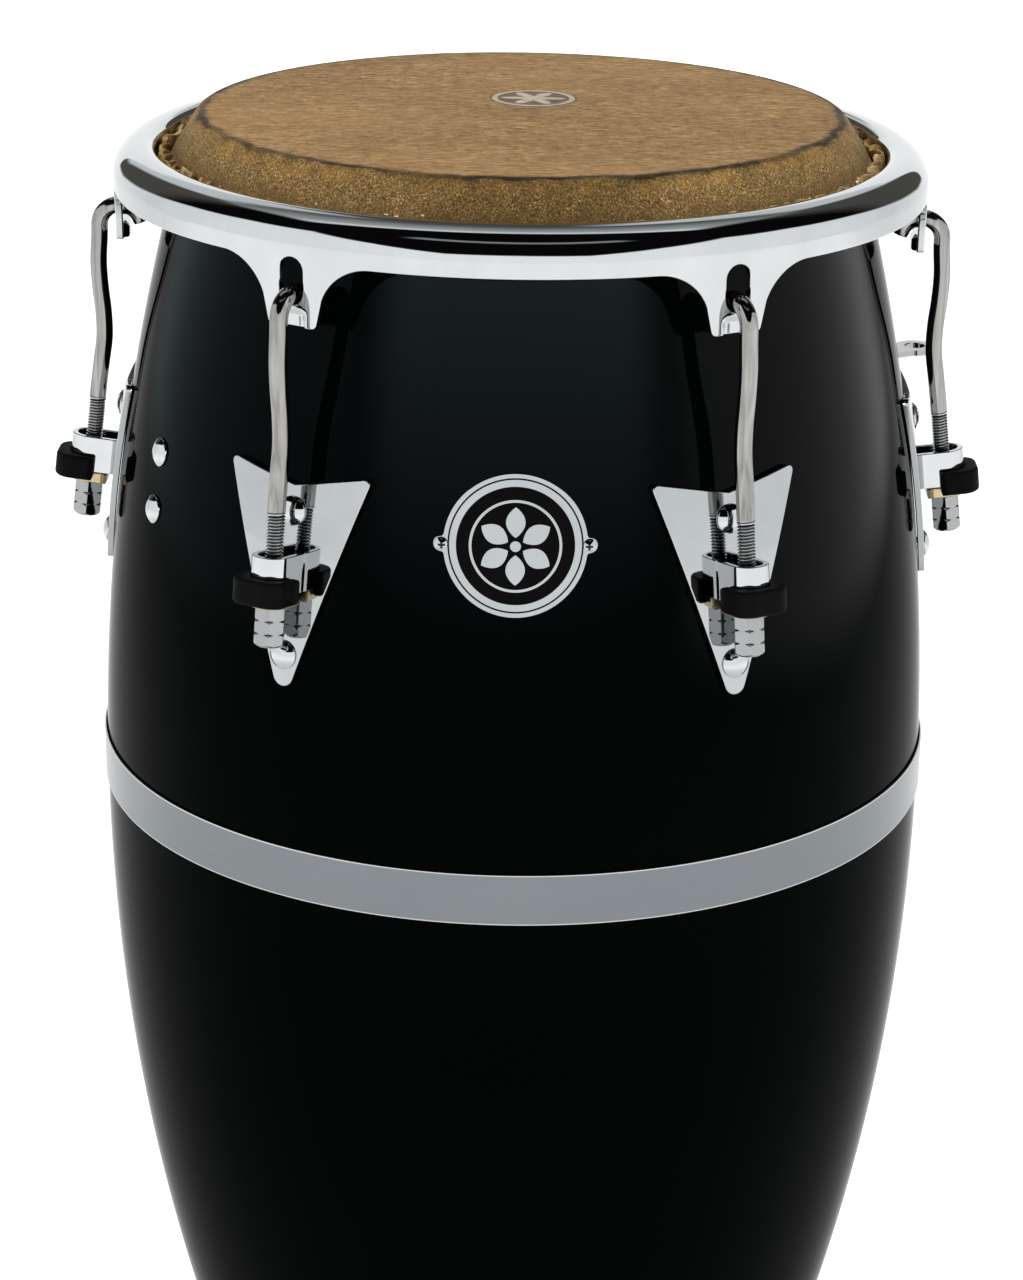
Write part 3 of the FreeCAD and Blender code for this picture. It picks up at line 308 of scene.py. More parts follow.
def band_material(low, high):
    """Satin stainless band, brushed round the drum, with a painted highlight along its edges at the heights
    low and high.
    """
    made, tree, shader = new_material("satin_band", Metallic=1.0)
    brush = grain(tree, (6, 6, 2600), 3.0, 0.7)
    cloud = grain(tree, 14.0, 4.0)
    height = cylinder_parts(tree)[1]
    edge = 0.0009
    # Painted highlight: the colour turns bright along the band's top and bottom edges.
    upper = rising(height, high - edge, high - edge / 3)
    lower = rising(height, low + edge, low + edge / 3)
    edge_highlight = calc("MAXIMUM", upper, lower)
    satin = blended(brush, (0.165, 0.182, 0.190), (0.225, 0.242, 0.254))
    satin = blended(fitted(cloud, 0.3, 0.7, 0.0, 0.25), satin, (0.150, 0.170, 0.180))
    colour = blended(edge_highlight, satin, (0.60, 0.62, 0.63))
    rough = calc("SUBTRACT", fitted(brush, 0.2, 0.8, 0.24, 0.36), 0.1)
    wired(shader, Base_Color=colour, Roughness=rough, Normal=bumped(brush, 0.000006, 0.5))
    return made


def rubber_material(name, tone):
    """Moulded rubber: matt, finely pebbled, with paler scuffs."""
    made, tree, shader = new_material(name, IOR=1.13)
    pebble = grain(tree, 1600.0, 3.0, 0.6)
    scuff = grain(tree, 120.0, 6.0, 0.65)
    pale = tuple(c * 2.4 for c in tone)
    colour = blended(fitted(scuff, 0.52, 0.8), tone, pale)
    rough = fitted(scuff, 0.3, 0.8, 0.50, 0.72)
    wired(shader, Base_Color=colour, Roughness=rough, Normal=bumped(pebble, 0.00012, 0.6))
    return made


def metal_material(name, dark, light, rough_low, rough_high, scale):
    """Plain turned or plated metal with a mottled tone and fine tool marks."""
    made, tree, shader = new_material(name, Metallic=1.0)
    mottle = grain(tree, scale, 6.0, 0.65)
    marks = grain(tree, (300, 300, 2400), 2.0)
    colour = blended(fitted(mottle, 0.3, 0.7), dark, light)
    rough = fitted(mottle, 0.3, 0.7, rough_low, rough_high)
    wired(shader, Base_Color=colour, Roughness=rough, Normal=bumped(marks, 0.00001, 0.6))
    return made


def enamel_material():
    """Black enamel in the badge, with fine dust and a slightly uneven gloss."""
    made, tree, shader = new_material("black_enamel", IOR=1.09)
    cloud = grain(tree, 90.0, 5.0)
    colour = blended(cloud, (0.0015, 0.0016, 0.0018), (0.004, 0.004, 0.0042))
    wired(shader, Base_Color=colour, Roughness=fitted(cloud, 0.3, 0.7, 0.06, 0.16))
    return made


def skin_material():
    """Rawhide: hairy grain across the playing surface, a dark worn crown, a speckled olive side with
    painted shade at front and back and a painted sheen at left and right.
    """
    made, tree, shader = new_material("rawhide", IOR=1.18)
    radius, height = cylinder_parts(tree)
    hair = grain(tree, (170, 360, 360), 6.0, 0.72, 0.4)
    fine = grain(tree, (480, 560, 560), 4.0, 0.75)
    cloud = grain(tree, (22, 44, 44), 5.0, 0.6, 0.6)
    broad = grain(tree, (7, 10, 10), 2.0)
    top = ramped(hair, [
        (0.33, (0.075, 0.033, 0.005)), (0.46, (0.195, 0.102, 0.026)),
        (0.56, (0.290, 0.163, 0.047)), (0.69, (0.460, 0.290, 0.110)),
    ])
    top = blended(fitted(fine, 0.52, 0.70, 0.0, 0.60), top, (0.47, 0.285, 0.100))
    top = blended(fitted(fine, 0.48, 0.32, 0.0, 0.60), top, (0.120, 0.060, 0.014))
    top = blended(fitted(cloud, 0.35, 0.66, 0.50, 0.0), top, (0.130, 0.068, 0.016))
    top = blended(fitted(broad, 0.4, 0.7, 0.0, 0.35), top, (0.34, 0.190, 0.056))
    top = blended(1.0, top, (1.08, 1.12, 1.30), "MULTIPLY")

    speckle = grain(tree, (1250, 1250, 900), 3.0, 0.70)
    streak = grain(tree, (150, 150, 40), 4.0, 0.6)
    side = ramped(speckle, [
        (0.36, (0.036, 0.020, 0.005)), (0.46, (0.150, 0.090, 0.027)),
        (0.56, (0.270, 0.172, 0.062)), (0.68, (0.620, 0.440, 0.210)),
    ])
    side = blended(fitted(streak, 0.38, 0.62, 0.45, 0.0), side, (0.100, 0.066, 0.024))
    amber = times(rising(height, 0.7530, 0.7575), fitted(streak, 0.40, 0.62, 0.0, 0.45))
    side = blended(amber, side, (0.27, 0.150, 0.034))
    foot = fitted(height, 0.7530, 0.7445, 0.0, 0.45, True)
    side = blended(foot, side, (0.110, 0.066, 0.024))
    # Painted shade and sheen: the side is darker near x = 0, at front and back, and lighter towards left
    # and right.
    drift = fitted(grain(tree, 16.0, 3.0), 0.3, 0.7, -0.03, 0.03)
    painted_sheen_share = rising(calc("ADD", calc("ABSOLUTE", axes(tree)[0]), drift), 0.02, 0.09)
    shade = blended(painted_sheen_share, (0.80, 0.76, 0.72), (1.20, 1.18, 1.22))
    side = blended(1.0, side, shade, "MULTIPLY")

    wander = grain(tree, (60, 60, 60), 3.0)
    seam_at = calc("ADD", radius, fitted(wander, 0.3, 0.7, -0.0014, 0.0014))
    on_side = rising(seam_at, 0.1455, 0.1472)
    colour = blended(on_side, top, side)
    halo = band_of(seam_at, 0.1436, 0.1494, 0.0014)
    core = band_of(seam_at, 0.1448, 0.1484, 0.0009)
    hairy = grain(tree, (260, 420, 420), 5.0, 0.8, 1.0)
    patch = grain(tree, (24, 24, 24), 3.0)
    halo = times(halo, fitted(hairy, 0.40, 0.60, 0.0, 0.85))
    core = times(core, fitted(hairy, 0.30, 0.48, 0.45, 1.0))
    worn = times(calc("MAXIMUM", halo, core), fitted(patch, 0.34, 0.56, 0.6, 1.0))
    colour = blended(times(worn, 0.96), colour, (0.016, 0.014, 0.008))

    past_waist = rising(radius, 0.1594, 0.1610)
    folds = grain(tree, (140, 140, 90), 4.0, 0.6)
    collar = ramped(folds, [
        (0.30, (0.075, 0.044, 0.016)), (0.46, (0.240, 0.148, 0.056)),
        (0.58, (0.420, 0.285, 0.125)), (0.72, (0.640, 0.490, 0.270)),
    ])
    # Painted shade: the collar darkens below 742.5 mm and is near black below 737 mm, deep inside the rim.
    low = rising(height, 0.7425, 0.7370)
    collar = blended(low, collar, (0.022, 0.013, 0.006))
    colour = blended(past_waist, colour, collar)

    near_foot = band_of(height, 0.7440, 0.7468, 0.0006)
    nick = times(fitted(grain(tree, (210, 210, 330), 2.0), 0.71, 0.73), near_foot)
    colour = blended(nick, colour, (0.80, 0.76, 0.66))

    rough = fitted(hair, 0.3, 0.7, 0.62, 0.48)
    relief = blended(on_side, hair, speckle)
    calm = blended(past_waist, relief, (0.5, 0.5, 0.5))
    normal = bumped(calm, 0.00030, 0.7)
    normal = bumped(fine, 0.00008, 0.6, normal)
    wired(shader, Base_Color=stamp_on_skin(tree, colour), Roughness=rough, Normal=normal)
    return made


def stamp_on_skin(tree, under):
    """A printed maker's spot in the skin, reduced to a plain ring with a six-petal rosette."""
    x, y, height = axes(tree)
    x = calc("SUBTRACT", x, STAMP_CENTRE[0])
    y = calc("SUBTRACT", y, STAMP_CENTRE[1])
    out = calc("SQRT", calc("ADD", times(x, x), times(y, y)))
    share = calc("DIVIDE", out, STAMP_RADIUS)
    turn = times(calc("ARCTAN2", y, x), LUGS)
    petal = calc("ADD", times(calc("COSINE", turn), 0.24), 0.50)
    disc = fitted(share, 1.0, 0.98)
    pale_ring = times(fitted(share, 0.80, 0.82), fitted(share, 0.94, 0.92))
    petals = fitted(calc("SUBTRACT", petal, share), 0.0, 0.03)
    pale = calc("MAXIMUM", pale_ring, petals)
    worn = fitted(grain(tree, (300, 700, 700), 4.0, 0.7), 0.36, 0.60, 0.35, 0.95)
    upward = fitted(height, 0.7600, 0.7610)
    disc = times(disc, worn, upward)
    ink = blended(pale, (0.075, 0.062, 0.045), (0.46, 0.42, 0.34))
    return blended(disc, under, ink)


# ---- outlines and tracks

def track(corners, closed=False):
    """A path of lines and arcs through corners (x, y, rounding): a list of (kind, length, data)."""
    count = len(corners)
    pieces = []
    cursor = None
    first = None
    order = list(range(count)) + ([0] if closed else [])
    for position, i in enumerate(order):
        x, y, rounding = corners[i]
        here = Vector((x, y))
        at_end = not closed and i in (0, count - 1)
        if at_end or rounding <= 0:
            enter, leave, arc = here, here, None
        else:
            before = (Vector(corners[i - 1][:2]) - here).normalized()
            after = (Vector(corners[(i + 1) % count][:2]) - here).normalized()
            half = before.angle(after) / 2
            enter = here + before * (rounding / math.tan(half))
            leave = here + after * (rounding / math.tan(half))
            centre = here + (before + after).normalized() * (rounding / math.sin(half))
            start = math.atan2(enter.y - centre.y, enter.x - centre.x)
            sweep = math.atan2(leave.y - centre.y, leave.x - centre.x) - start
            sweep = (sweep + math.pi) % (2 * math.pi) - math.pi
            arc = ("arc", abs(sweep) * rounding, (centre, rounding, start, sweep))
        if cursor is not None and (enter - cursor).length > 1e-6:
            pieces.append(("line", (enter - cursor).length, (cursor, enter)))
        if closed and position == count:
            break
        if arc:
            pieces.append(arc)
        cursor = leave
        first = first or enter
    return pieces


def length_of(path):
    return sum(piece[1] for piece in path)


def round_point(centre, radius, angle):
    return centre + Vector((math.cos(angle), math.sin(angle))) * radius


def piece_point(kind, data, share):
    """The point at a share of a line's or an arc's length."""
    if kind == "line":
        return data[0] + (data[1] - data[0]) * share
    centre, radius, start, sweep = data
    return round_point(centre, radius, start + sweep * share)


def on_track(path, distance):
    """The point at a distance along a path."""
    for kind, length, data in path[:-1]:
        if distance <= length:
            return piece_point(kind, data, distance / length)
        distance -= length
    kind, length, data = path[-1]
    return piece_point(kind, data, distance / length)


def sampled(path, step=3.0, turn=8.0, closed=False):
    """Points along a path: every step along its lines and every turn degrees along its arcs."""
    points = []
    for kind, length, data in path:
        if kind == "line":
            parts = max(1, round(length / step))
        else:
            parts = max(2, round(abs(math.degrees(data[3])) / turn))
        points += [piece_point(kind, data, k / parts) for k in range(parts)]
    if not closed:
        points.append(on_track(path, length_of(path)))
    return points


def circle_line(radius, parts=48):
    turns = [2 * math.pi * k / parts for k in range(parts)]
    return [Vector((radius * math.cos(t), radius * math.sin(t))) for t in turns]


def spread(low, high, parts):
    return [low + (high - low) * k / parts for k in range(parts + 1)]


# ---- meshes

def welded(verts, faces, normals=None):
    """The same mesh with points in one place joined, and faces without area left out."""
    index = {}
    kept, kept_normals, renamed = [], [], []
    for i, v in enumerate(verts):
        key = tuple(round(part, 4) for part in v)
        if key not in index:
            index[key] = len(kept)
            kept.append(v)
            if normals:
                kept_normals.append(normals[i])
        renamed.append(index[key])
    whole = []
    for face in faces:
        ring = []
        for i in face:
            if not ring or ring[-1] != renamed[i]:
                ring.append(renamed[i])
        if len(ring) > 1 and ring[0] == ring[-1]:
            ring.pop()
        if len(ring) > 2 and len(set(ring)) == len(ring):
            whole.append(ring)
    return kept, whole, kept_normals


def make_piece(name, parts, material, body, nodes=(), sharp=None):
    """An object of the drum that rides on a body and stands for CAD nodes. Without normals it is smooth."""
    verts, faces, normals = welded(*parts)
    mesh = bpy.data.meshes.new(name)
    mesh.from_pydata([(v[0] * MM, v[1] * MM, v[2] * MM) for v in verts], [], faces)
    mesh.polygons.foreach_set("use_smooth", [True] * len(mesh.polygons))
    if sharp is not None:
        mesh.set_sharp_from_angle(angle=math.radians(sharp))
    if normals:
        mesh.normals_split_custom_set_from_vertices([tuple(n) for n in normals])
    mesh.materials.append(material)
    made = bpy.data.objects.new(name, mesh)
    bpy.context.scene.collection.objects.link(made)
    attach(made, body)
    if nodes:
        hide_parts(*nodes)
    return made


def grid_faces(rows, columns):
    """Quads between rows of points. The last column joins the first one."""
    faces = []
    for low in range(0, (rows - 1) * columns, columns):
        high = low + columns
        faces += [(low + c, low + (c + 1) % columns, high + (c + 1) % columns, high + c)
                  for c in range(columns)]
    return faces


def section_normals(points, closed):
    """Normals of a section, to the right of its direction, led by the longer neighbour."""
    count = len(points)
    found = []
    for i in range(count):
        total = Vector((0, 0))
        for a, b in ((i - 1, i), (i, i + 1)):
            if not closed and (a < 0 or b >= count):
                continue
            way = points[b % count] - points[a]
            if way.length > 1e-9:
                total += Vector((way.y, -way.x)).normalized() * way.length
        found.append(total.normalized())
    return found


def turned_solid(section, segments, closed=True, place=None):
    """A section (radius, height) turned about Z: points, faces and normals."""
    normals = section_normals(section, closed)
    verts, rays = [], []
    for point, normal in zip(section, normals):
        for k in range(segments):
            turn = 2 * math.pi * k / segments
            c, s = math.cos(turn), math.sin(turn)
            verts.append(Vector((point.x * c, point.x * s, point.y)))
            rays.append(Vector((normal.x * c, normal.x * s, normal.y)))
    faces = grid_faces(len(section), segments)
    if closed:
        last = (len(section) - 1) * segments
        faces += [(last + k, last + (k + 1) % segments, (k + 1) % segments, k) for k in range(segments)]
    if place is not None:
        rotation = place.to_3x3()
        verts = [place @ v for v in verts]
        rays = [rotation @ n for n in rays]
    return verts, faces, rays


def gathered(parts):
    """Several (points, faces, normals) as one."""
    verts, faces, normals = [], [], []
    for v, f, n in parts:
        start = len(verts)
        verts += v
        normals += n
        faces += [tuple(i + start for i in face) for face in f]
    return verts, faces, normals


def flat_sheet(outlines, thickness, edge):
    """A flat sheet with rounded edges, cut to closed outlines: a bmesh that keeps its flat normals."""
    curve = bpy.data.curves.new("sheet", "CURVE")
    curve.dimensions = "2D"
    curve.fill_mode = "BOTH"
    curve.extrude = thickness / 2 - edge
    curve.bevel_depth = edge
    curve.bevel_resolution = 2
    curve.offset = -edge
    for line in outlines:
        spline = curve.splines.new("POLY")
        spline.points.add(len(line) - 1)
        for point, where in zip(spline.points, line):
            point.co = (where.x, where.y, 0, 1)
        spline.use_cyclic_u = True
    holder = bpy.data.objects.new("sheet", curve)
    mesh = bpy.data.meshes.new_from_object(holder)
    bpy.data.objects.remove(holder)
    bpy.data.curves.remove(curve)
    work = bmesh.new()
    work.from_mesh(mesh)
    bpy.data.meshes.remove(mesh)
    bmesh.ops.remove_doubles(work, verts=work.verts[:], dist=0.0005)
    bmesh.ops.recalc_face_normals(work, faces=work.faces[:])
    store = work.verts.layers.float_vector.new("flat_normal")
    for vert in work.verts:
        faces = vert.link_faces
        level = [f for f in faces if abs(f.normal.z) > 0.999]
        upright = [f for f in faces if abs(f.normal.z) < 0.001]
        chosen = level or upright or list(faces)
        total = Vector((0, 0, 0))
        for face in chosen:
            total += face.normal * (1.0 if level else face.calc_area())
        vert[store] = total.normalized()
    return work, store


def sliced(work, axis, low, high, step):
    """Cuts a sheet across an axis so that it can bend, every step."""
    way = Vector((1, 0, 0)) if axis == 0 else Vector((0, 1, 0))
    parts = max(1, round((high - low) / step))
    for k in range(parts + 1):
        at = way * (low + (high - low) * k / parts)
        geometry = work.verts[:] + work.edges[:] + work.faces[:]
        bmesh.ops.bisect_plane(work, geom=geometry, plane_co=at, plane_no=way, dist=0.0004)


def laid(work, store, place):
    """A sheet laid over a surface: place(x, y, lift) is a point on it. Returns points, faces, normals."""
    reach = 0.02
    verts, normals = [], []
    work.verts.index_update()
    for vert in work.verts:
        x, y, lift = vert.co
        across = place(x + reach, y, lift) - place(x - reach, y, lift)
        along = place(x, y + reach, lift) - place(x, y - reach, lift)
        up = across.cross(along).normalized()
        across.normalize()
        along = up.cross(across)
        flat = vert[store]
        verts.append(place(x, y, lift))
        normals.append((across * flat.x + along * flat.y + up * flat.z).normalized())
    faces = [tuple(v.index for v in face.verts) for face in work.faces]
    return verts, faces, normals


def sheet_piece(outlines, thickness, edge, place, cell=None, span=None):
    """A bent sheet. cell is the size of its facets across and along, and span its extent."""
    work, store = flat_sheet(outlines, thickness, edge)
    if cell:
        sliced(work, 0, span[0], span[1], cell[0])
        sliced(work, 1, span[2], span[3], cell[1])
    made = laid(work, store, place)
    work.free()
    return made


# ---- the drum's surfaces

def side_radius(z):
    """Outer radius of the shell."""
    if z < CONE_TOP:
        return side_radius(CONE_TOP) - (CONE_TOP - z) * CONE_SLOPE
    return BELLY_RADIUS - SIDE_ARC + math.sqrt(SIDE_ARC ** 2 - (z - BELLY_HEIGHT) ** 2)


def over_side(turn, base):
    """Lays a sheet on the shell's side, round the angle turn: base is the height of its middle."""
    def place(x, y, lift):
        lean = math.asin((y - BELLY_HEIGHT) / SIDE_ARC)
        radius = side_radius(y)
        angle = turn + math.asin(x / radius)
        out = radius + (base + lift) * math.cos(lean)
        return Vector((out * math.cos(angle), out * math.sin(angle), y + (base + lift) * math.sin(lean)))
    return place


def bolt_frame(turn, z, gap):
    """A frame on the shell's side whose Z points straight out."""
    lean = math.asin((z - BELLY_HEIGHT) / SIDE_ARC)
    foot = Vector((side_radius(z) + gap * math.cos(lean), 0, z + gap * math.sin(lean)))
    return (Matrix.Rotation(turn, 4, "Z") @ Matrix.Translation(foot)
            @ Matrix.Rotation(math.pi / 2 - lean, 4, "Y"))


def thread_frame(turn):
    """The frame of a lug's thread: Z up along the thread, X outward."""
    foot = Vector((THREAD_RADIUS, 0, THREAD_HEIGHT))
    return Matrix.Rotation(turn, 4, "Z") @ Matrix.Translation(foot) @ Matrix.Rotation(-TILT, 4, "Y")


# ---- shell, band and foot

def make_shell(gloss, raw):
    """The moulding from foot to bearing edge, with its inside in the raw material."""
    outer = [Vector((side_radius(z), z)) for z in spread(SHELL_FOOT, SHOULDER, 150)]
    bearing = track([(side_radius(SHOULDER), SHOULDER, 0), (148.5, 757.0, 3.0), (145.0, 760.1, 0.8),
                     (142.8, 760.1, 0.8), (side_radius(SHOULDER) - WALL, SHOULDER, 0)])
    inner = [Vector((side_radius(z) - WALL, z)) for z in spread(SHOULDER, SHELL_FOOT, 90)]
    section = outer + sampled(bearing, 2.0)[1:-1] + inner
    shell = make_piece("shell_moulding", turned_solid(section, 360), gloss, "drum", ["shell"])
    shell.data.materials.append(raw)
    for polygon in shell.data.polygons:
        out = Vector((polygon.center.x, polygon.center.y))
        facing = polygon.normal.x * out.x + polygon.normal.y * out.y
        if facing < 0:
            polygon.material_index = 1


def make_belly_band(material):
    low, high = (c.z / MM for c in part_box("belly_band"))
    inner, outer = BELLY_RADIUS + 0.1, BELLY_RADIUS + 1.0
    edge = 0.35
    corners = [(outer, low), (outer, high), (inner, high), (inner, low)]
    section = track([(*corner, edge) for corner in corners], True)
    ring = turned_solid(sampled(section, 4.0, 22.0, True), 360)
    make_piece("belly_band_satin", ring, material, "drum", ["belly_band"])


def make_foot_ring(material):
    lip, inner_lip, rubber = 22.0, 14.0, 3.0
    inside = side_radius(SHELL_FOOT) - WALL
    section = track([
        (inside - rubber, 0.0, 1.4),
        (side_radius(0) + rubber, 0.0, 2.0),
        (side_radius(lip) + rubber, lip, 1.6),
        (side_radius(lip), lip, 0.3),
        (side_radius(SHELL_FOOT), SHELL_FOOT, 0.3),
        (inside, SHELL_FOOT, 0.3),
        (side_radius(inner_lip) - WALL, inner_lip, 0.3),
        (side_radius(inner_lip) - WALL - rubber, inner_lip, 1.2),
    ], True)
    ring = turned_solid(sampled(section, 3.0, 12.0, True), 300)
    make_piece("foot_rubber", ring, material, "drum", ["foot_ring"])


# ---- head

def collar_share(radius, z):
    """How far a point of the skin's section lies up the loose collar, from 0 to 1."""
    start = 735.5
    if radius < 164.5 or z < start:
        return 0.0
    return min(1.0, (z - start) / 11.0)


def make_head(material):
    """The skin: playing surface, side, wrap round the hidden hoop, and the loose collar behind the rim."""
    hoop = (171.5, HEAD_TOP - 31.0)
    near, skin = 4.1, 1.8
    far = near + skin
    low_angle, fold_angle = math.radians(205), math.radians(134)

    def on_hoop(radius, angle):
        return (hoop[0] + radius * math.cos(angle), hoop[1] + radius * math.sin(angle))

    def around(radius, start, finish, parts=16):
        return [Vector(on_hoop(radius, a)) for a in spread(start, finish, parts)]

    lean = math.atan((159.2 - 150.5) / 13.0)
    waist, waist_height = 159.0, 746.0
    collar_inner, collar_outer, collar_top = 165.6, 167.4, 747.0
    top = sampled(track([(0.0, HEAD_TOP, 0), (148.6, HEAD_TOP, 5.4), (waist, waist_height, 1.2),
                         (*on_hoop(near, low_angle), 0)]), 2.5, 9.0)
    inner_wrap = around(near, low_angle - 2 * math.pi, fold_angle)[1:]
    collar = sampled(track([
        (*on_hoop(near, fold_angle), 0), (collar_inner, 737.5, 0.8), (collar_inner, collar_top, 0.85),
        (collar_outer, collar_top, 0.85), (collar_outer, 736.0, 0.2), (*on_hoop(far, fold_angle), 0),
    ]), 1.0, 25.0)[1:]
    outer_wrap = around(far, fold_angle, low_angle - 2 * math.pi)[1:]
    inward = (skin * math.cos(lean), skin * math.sin(lean))
    under = sampled(track([
        (*on_hoop(far, low_angle), 0), (waist - inward[0], waist_height - inward[1], 1.0),
        (148.0 - skin * 0.7, HEAD_TOP - skin, 4.0), (0.0, HEAD_TOP - skin, 0),
    ]), 6.0, 20.0)[1:]
    section = top + inner_wrap + collar + outer_wrap + under
    segments = 540
    verts = []
    for point in section:
        share = collar_share(point.x, point.y)
        for k in range(segments):
            turn = 2 * math.pi * k / segments
            way = Vector((math.cos(turn), math.sin(turn), 0))
            verts.append(skin_point(point, turn, way, share))
    whole = (verts, grid_faces(len(section), segments))
    make_piece("rawhide_head", whole, material, "drum", ["head_skin"])


def skin_point(point, turn, way, share):
    """A point of the skin: slightly uneven everywhere, and gathered into folds on the collar."""
    radius, z = point
    if share > 0:
        wander = 2.2 * noise.noise(way * 9.0) + 0.7 * noise.noise(way * 31.0)
        phase = turn * FOLDS + 4.0 * wander
        crumple = noise.noise(way * 40.0 + Vector((0, 0, 3.0)))
        radius += share * (-2.8 + 2.5 * math.sin(phase) + 0.5 * crumple)
        z += share * (-1.9 + 1.2 * noise.noise(way * 14.0) + 1.3 * math.cos(phase))
        return Vector((way.x * radius, way.y * radius, z))
    here = Vector((way.x * radius, way.y * radius, z))
    rough = noise.noise(here * 0.055) * 0.5 + noise.noise(here * 0.22) * 0.25
    if radius < 147:
        z -= 0.14 * (0.6 + rough)
    elif z > 738:
        radius += 0.34 * rough - 0.25
        z -= 0.05
    return Vector((way.x * radius, way.y * radius, z))


# ---- rim

def rim_outline():
    """One lug's share of the rim, unrolled: x round the drum, y up from the ear's foot along the metal."""
    half_sector = RIM_MIDDLE * math.pi / LUGS + 4.0

    def across(y):
        return RIM_MIDDLE * math.asin(y / RIM_OUTER)

    def height(z):
        return z - EAR_FOOT

    far_end = length_of(RIM_TRACK)
    root, neck, foot = 36.0, 14.8, 11.8
    neck_height = height(HEAD_TOP - 49.0)
    hollow = arc_points((across(root), height(SKIRT_EDGE)), (across(neck), neck_height), 24.0)
    right = [Vector((half_sector, height(SKIRT_EDGE)))] + hollow
    corner = track([(across(neck), neck_height, 0), (across(foot), 0.0, 2.5), (0.0, 0.0, 0)])
    right += sampled(corner, 3.0, 15.0)[1:-1]
    left = [Vector((-p.x, p.y)) for p in reversed(right)]
    return right + left + [Vector((-half_sector, far_end)), Vector((half_sector, far_end))]


def arc_points(start, finish, radius, parts=14):
    """Points of the hollow arc from start to finish that bulges towards the lug's middle and up."""
    a, b = Vector(start), Vector(finish)
    middle = (a + b) / 2
    way = b - a
    rise = math.sqrt(radius ** 2 - way.length_squared / 4)
    centre = middle + Vector((-way.y, way.x)).normalized() * rise
    first = math.atan2(a.y - centre.y, a.x - centre.x)
    sweep = math.atan2(b.y - centre.y, b.x - centre.x) - first
    sweep = (sweep + math.pi) % (2 * math.pi) - math.pi
    return [round_point(centre, radius, t) for t in spread(first, first + sweep, parts)]


RIM_TRACK = track([
    (RIM_MIDDLE, EAR_FOOT, 0),
    (RIM_MIDDLE, RIM_CREST - RIM_METAL / 2, RIM_SHOULDER - RIM_METAL / 2),
    (RIM_INNER + RIM_METAL / 2, RIM_CREST - RIM_METAL / 2, 2.8),
    (RIM_INNER + RIM_METAL / 2, RIM_FOOT, 0),
])


def eased(value, low, high):
    share = max(0.0, min(1.0, (value - low) / (high - low)))
    return share * share * (3 - 2 * share)


def over_rim(x, y, lift):
    """Lays the unrolled rim over its section, with the channel below the slot pressed in."""
    step = 0.02
    here = on_track(RIM_TRACK, y) if y >= 0 else RIM_TRACK[0][2][0] + Vector((0, y))
    ahead = on_track(RIM_TRACK, max(y, 0) + step)
    behind = on_track(RIM_TRACK, max(y, step) - step)
    way = (ahead - behind).normalized()
    out = Vector((way.y, -way.x))
    pressed = CHANNEL_DEPTH * eased(-abs(x), -7.4, -4.6) * eased(-y, -9.2, -4.6)
    spot = here + out * (lift - pressed)
    turn = x / RIM_MIDDLE
    return Vector((spot.x * math.cos(turn), spot.x * math.sin(turn), spot.y))


def make_rim(material):
    low, high = SLOT_LOW - EAR_FOOT, SLOT_HIGH - EAR_FOOT
    corners = [(SLOT_HALF, low), (SLOT_HALF, high), (-SLOT_HALF, high), (-SLOT_HALF, low)]
    slot = sampled(track([(*corner, SLOT_HALF - 0.02) for corner in corners], True), 2.0, 10.0, True)
    half = RIM_MIDDLE * math.pi / LUGS
    work, store = flat_sheet([rim_outline(), slot], RIM_METAL, 0.75)
    sliced(work, 0, -half, half, 1.7)
    sliced(work, 1, 0.0, length_of(RIM_TRACK), 1.15)
    for side in (-1, 1):
        geometry = work.verts[:] + work.edges[:] + work.faces[:]
        bmesh.ops.bisect_plane(work, geom=geometry, plane_co=(side * half, 0, 0), plane_no=(side, 0, 0),
                               dist=0.0004, clear_outer=True)
    sector = laid(work, store, over_rim)
    work.free()
    make_piece("rim_chromed", turned_copies(sector), material, "rim", ["tension_rim"])


def turned_copies(sector):
    """One lug's share of a ring, repeated round the drum."""
    parts = []
    for turn in LUG_TURNS:
        spin = Matrix.Rotation(turn, 3, "Z")
        parts.append(([spin @ v for v in sector[0]], sector[1], [spin @ n for n in sector[2]]))
    return gathered(parts)


# ---- hooks and nuts

# The hook lies in a plane through the drum's axis: (distance from the axis, height).
HOOK_BEND_CENTRE = (186.2, 704.4)
HOOK_BEND = 10.0
HOOK_SWEEP = 158.0
HOOK_LEG = [
    (196.2, 704.4), (196.35, 699.0), (197.1, 687.0), (196.6, 675.0), (195.5, 663.0), (195.4, 651.0),
    (197.1, 639.0), (199.1, 625.0), (200.3, 614.0), (201.7, 603.0),
]
HOOK_STEP = 0.9
THREAD_TOP = 622.0
STRAIGHT_ABOVE_NUT = 22.0
ROD_IN_NUT = 14.5
# One turn of the thread: (share of the pitch, share of the depth).
THREAD_SECTION = [(0.0, 0.0), (0.10, 0.0), (0.30, 0.62), (0.45, 1.0), (0.62, 1.0), (0.80, 0.55)]
THREAD_DEPTH = 0.86
GROOVE_ROWS = (2, 3, 4)


def smooth_through(points, step):
    """A smooth curve through points (Catmull-Rom), sampled about every step."""
    made = []
    for i in range(len(points) - 1):
        a = Vector(points[max(0, i - 1)])
        b, c = Vector(points[i]), Vector(points[i + 1])
        d = Vector(points[min(len(points) - 1, i + 2)])
        parts = max(1, round((c - b).length / step))
        for k in range(parts):
            t = k / parts
            made.append(0.5 * (2 * b + (c - a) * t + (2 * a - 5 * b + 4 * c - d) * t * t
                               + (3 * b - a - 3 * c + d) * t ** 3))
    return made


